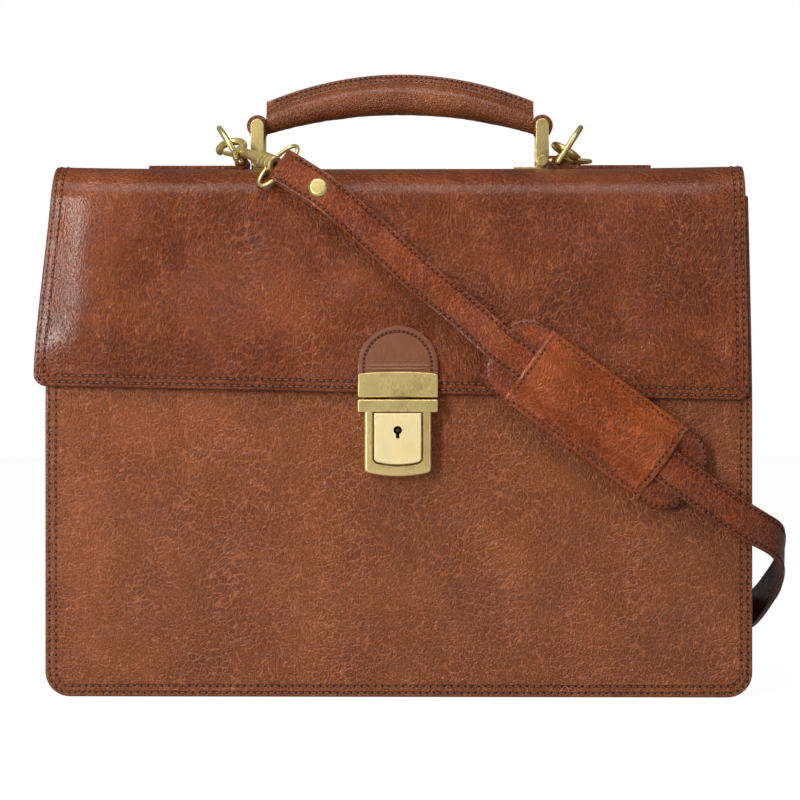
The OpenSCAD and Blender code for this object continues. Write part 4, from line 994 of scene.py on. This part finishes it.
# %% Stitches dropped on the cushion
pad_tree = BVHTree.FromObject(pad, bpy.context.evaluated_depsgraph_get())
pad_out = (pad_place.to_3x3() @ Vector((0, -1, 0))).normalized()

def dropped(u, w):
    """The spot where a ray from in front of the pad meets its skin, with the skin's normal."""
    start = pad_place @ (Vector((u, -40, w)) * MM)
    spot, normal, _, _ = pad_tree.ray_cast(start, -pad_out)
    return (spot / MM, normal) if spot else None

rim_line = [dropped(u, w) for u, w in pad_outline(PAD_SEAM + 0.8, 12)]
rim_line = [spot for spot in rim_line if spot]
long_rim = []
for (a, _), (b, _) in zip(rim_line, rim_line[1:] + rim_line[:1]):
    steps = max(1, int((b - a).length / 3))
    for k in range(steps):
        q = pad_place.inverted() @ (a.lerp(b, k / steps) * MM) / MM
        spot = dropped(q.x, q.z)
        if spot:
            long_rim.append(spot)
seam("pad_seam", long_rim + long_rim[:1], "flap_body", 3.4, 0.34)

# %% Sleeve over the strap
SLEEVE_LONG, SLEEVE_WIDE = 47.25, 24.5

def sleeve_out(u, w):
    over_pad = 3.2 + 3.6 * (1 - (w / PAD_WIDE) ** 2)
    hump = 4.6 * ease((18.5 - abs(w)) / 11)
    return over_pad + 1.5 + hump + 0.3 * undulation(u, w, 18, 5.0)

def sleeve_place(u, v):
    a, b = (2 * v - 1) * SLEEVE_LONG, (1 - 2 * u) * SLEEVE_WIDE
    away = min(SLEEVE_WIDE - abs(b), SLEEVE_LONG - abs(a))
    tucked = 0.9 * math.exp(-away / 2.2)
    return pad_place @ (Vector((a, -(sleeve_out(a, b) - tucked), b)) * MM), away

sleeve = leather_sheet("pad_sleeve_skin", 40, 60, sleeve_place, 1.3, "sleeve_leather", "flap_body",
                       ["pad_sleeve"], 0.45)

def sleeve_line(points):
    return [((pad_place @ (Vector((a, -(sleeve_out(a, b) - 0.3), b)) * MM)) / MM, pad_out)
            for a, b in points]

edges_of_sleeve = {
    "upper": [(-44 + 88 * k / 40, 21.5) for k in range(41)],
    "lower": [(-44 + 88 * k / 40, -21.5) for k in range(41)],
    "near": [(-44.2, 21.3 - 42.6 * k / 60) for k in range(61)],
    "far": [(44.2, 21.3 - 42.6 * k / 60) for k in range(61)]}
for side, points in edges_of_sleeve.items():
    seam(f"sleeve_seam_{side}", sleeve_line(points), "flap_body", 3.4, 0.34)
print("sleeve:", len(sleeve.data.polygons), "faces")

# %% [markdown]
# ## Handle
# The grip is a padded roll: one section is drawn at many places along it, thicker towards the
# middle, and the sections are joined into a skin. The same section carries the sewn ridge on
# top. Small folds cross the underside, where the leather was pulled round the roll. Its
# metal links, saddles and screws keep the form of their solids and only get rounded edges.

# %% Fittings with rounded edges
def softened(node, name, edge, material, body, sharper=32):
    """The solid's own form with its sharp edges rounded."""
    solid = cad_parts[node]
    shape = bmesh.new()
    shape.from_mesh(solid.data)
    shape.transform(solid.matrix_world)
    bmesh.ops.remove_doubles(shape, verts=shape.verts, dist=0.002 * MM)
    bmesh.ops.dissolve_limit(shape, angle_limit=math.radians(1.5), verts=shape.verts, edges=shape.edges)
    round_edges(shape, edge, 2, sharper)
    bmesh.ops.triangulate(shape, faces=[f for f in shape.faces if len(f.verts) > 4])
    hardened(made_piece(name, shape, material, body, [node]))

softened("handle_saddles", "saddles", 0.4, brass, "flap_body")
for side in ("left", "right"):
    softened(f"link_{side}", f"{side}_link", 0.45, brass, f"link_{side}_body")
    softened(f"link_screws_{side}", f"{side}_link_screws", 0.5, brass, f"link_{side}_body")
softened("grip_loops", "end_loops", 0.7, "grip_leather", "grip_body")

# %% Grip
PIN_Z, GRIP_END, GRIP_RISE = 329.0, 78.65, 14.5
GRIP_THIN, GRIP_FAT = 12.7, 19
RIDGE_SUNK, RIDGE_FACE = 0.4, 1.68

def grip_middle(x):
    """Height of the roll's middle and its radius at a place along the grip."""
    f = 1 - (x / GRIP_END) ** 2
    return PIN_Z + 2 + GRIP_RISE * f, (GRIP_THIN + (GRIP_FAT - GRIP_THIN) * f) / 2

def on_ridge(x, base, up):
    return base + up * (1 + 0.3 * (x / GRIP_END) ** 2)

def grip_section(x):
    """One closed section: round the roll from one foot of the ridge to the other, then over it."""
    z, r = grip_middle(x)
    foot, points = math.radians(17), []
    for k in range(33):
        a = math.pi / 2 - foot - (2 * math.pi - 2 * foot) * k / 32
        under = max(0, -math.sin(a))
        pull = 0.28 * under * noise.noise(Vector((x / 3.2, 6 * a, 2)))
        pull += 0.16 * noise.noise(Vector((x / 14, 2 * a, 7)))
        points.append((0.95 * (r + pull) * math.cos(a), z + (r + pull) * math.sin(a)))
    base = z + r - RIDGE_SUNK
    for y, up in ((-1.95, 0.5), (-1.7, 1.4), (-1.65, 3.4), (-1.5, 4.6), (-0.9, 5.25), (0, 5.4),
                  (0.9, 5.25), (1.5, 4.6), (1.65, 3.4), (1.7, 1.4), (1.95, 0.5)):
        points.append((y, on_ridge(x, base, up)))
    return points

def grip_skin():
    shape, rings = bmesh.new(), []
    for k in range(161):
        x = GRIP_END * math.sin(math.pi * (k / 160 - 0.5))
        rings.append([shape.verts.new(Vector((x, y, z)) * MM) for y, z in grip_section(x)])
    for near, far in zip(rings, rings[1:]):
        for k in range(len(near)):
            shape.faces.new((near[k], near[k - 1], far[k - 1], far[k]))
    shape.faces.new(rings[0])
    shape.faces.new(rings[-1][::-1])
    bmesh.ops.recalc_face_normals(shape, faces=shape.faces)
    return shape

grip = made_piece("handle_grip_skin", grip_skin(), "grip_leather", "grip_body", ["handle_grip"])
for face in (-1, 1):
    for row, up in enumerate((1.2, 3.9)):
        line = []
        for k in range(121):
            x = (GRIP_END - 3.5) * (k / 60 - 1)
            z, r = grip_middle(x)
            line.append(((x, face * RIDGE_FACE, on_ridge(x, z + r - RIDGE_SUNK, up)), (0, face, 0)))
        label = "front" if face < 0 else "back"
        seam(f"grip_seam_{label}_{row + 1}", line, "grip_body", 3.0, 0.34)
print("grip:", len(grip.data.polygons), "faces")

# %% [markdown]
# ## Rings, snap hooks and buckle
# These are small castings, so they also keep the form of their solids with softened edges.
# Only the eyes of the hooks are new: on the real case each is an oval loop of round wire that
# holds the folded strap on one side and the hook's barrel on the other. The hidden parts of
# the lock keep their solids and get plain brass and steel; only the key post is brass painted
# nearly black, as painted shade inside the keyhole.

# %% Rings and hooks
for side in ("left", "right"):
    softened(f"ring_tab_{side}", f"{side}_ring_tab", 0.5, "plain_leather", "flap_body")
    softened(f"d_ring_{side}", f"{side}_ring", 0.1, brass, f"ring_{side}_body", 50)
    softened(f"hook_{side}", f"{side}_hook", 0.25, brass, f"hook_{side}_body", 40)
    softened(f"gate_{side}", f"{side}_gate", 0.3, brass, f"gate_{side}_body", 40)
    softened(f"strap_rivet_{side}", f"{side}_strap_rivet", 0.45, brass,
             "flap_body" if side == "left" else "root", 25)

# %% Wire loops of the eyes
WIRE_R, LOOP_MIDDLE, LOOP_HALF_LONG, LOOP_HALF_WIDE, LOOP_ROUND = 1.2, 5.6, 6.6, 15.8, 0.93

def wire_loop(name, eye, claw, roll, body, node):
    """An oval ring of round wire from the eye towards the claw, rolled about that line."""
    along = (Vector(claw) - Vector(eye)).normalized()
    turned = (Matrix.Rotation(math.atan2(along.y, along.x), 4, "Z")
              @ Matrix.Rotation(-math.asin(along.z), 4, "Y")
              @ Matrix.Rotation(math.radians(roll), 4, "X"))
    shape, rings = bmesh.new(), []
    for k in range(72):
        a = 2 * math.pi * k / 72
        flat = [math.copysign(abs(part) ** LOOP_ROUND, part) for part in (math.cos(a), math.sin(a))]
        middle = Vector((LOOP_MIDDLE - LOOP_HALF_LONG * flat[0], LOOP_HALF_WIDE * flat[1], 0))
        out = Vector((-math.cos(a), 0.45 * math.sin(a), 0)).normalized()
        ring = []
        for j in range(12):
            b = math.pi * j / 6
            skin = middle + WIRE_R * (math.cos(b) * out + Vector((0, 0, math.sin(b))))
            ring.append(shape.verts.new((Vector(eye) + turned @ skin) * MM))
        rings.append(ring)
    for near, far in zip(rings, rings[1:] + rings[:1]):
        for j in range(12):
            shape.faces.new((near[j], near[j - 1], far[j - 1], far[j]))
    bmesh.ops.recalc_face_normals(shape, faces=shape.faces)
    made_piece(name, shape, brass, body, [node])

LEFT_CLAW, RIGHT_CLAW = (-98.45, -19.0, 315.4), (98.4, 9.0, 315.4)
wire_loop("left_eye_loop", LEFT_EYE, LEFT_CLAW, -50, "flap_body", "swivel_eye_left")
wire_loop("right_eye_loop", RIGHT_EYE, RIGHT_CLAW, 0, "flap_body", "swivel_eye_right")

# %% Buckle
softened("strap_buckle", "buckle_frame", 0.4, brass, "root")
softened("buckle_prong", "prong", 0.3, brass, "prong_body")
softened("strap_keeper", "keeper", 0.5, "plain_leather", "root")

# %% Finishes of the hidden parts
# The key post is painted nearly black: painted shade inside the keyhole.
for kind, names in {"painted_shade_brass": ["key_post"],
                    brass: ["lock_latch", "lock_tumbler", "lock_rivets", "hasp_rivets", "saddle_rivets"],
                    "steel": ["lock_springs", "lock_backplate", "gate_pin_left", "gate_pin_right"],
                    "painted_steel": ["handle_plate"]}.items():
    for name in names:
        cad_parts[name].data.materials.clear()
        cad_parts[name].data.materials.append(finishes[kind])
print("fittings finished")
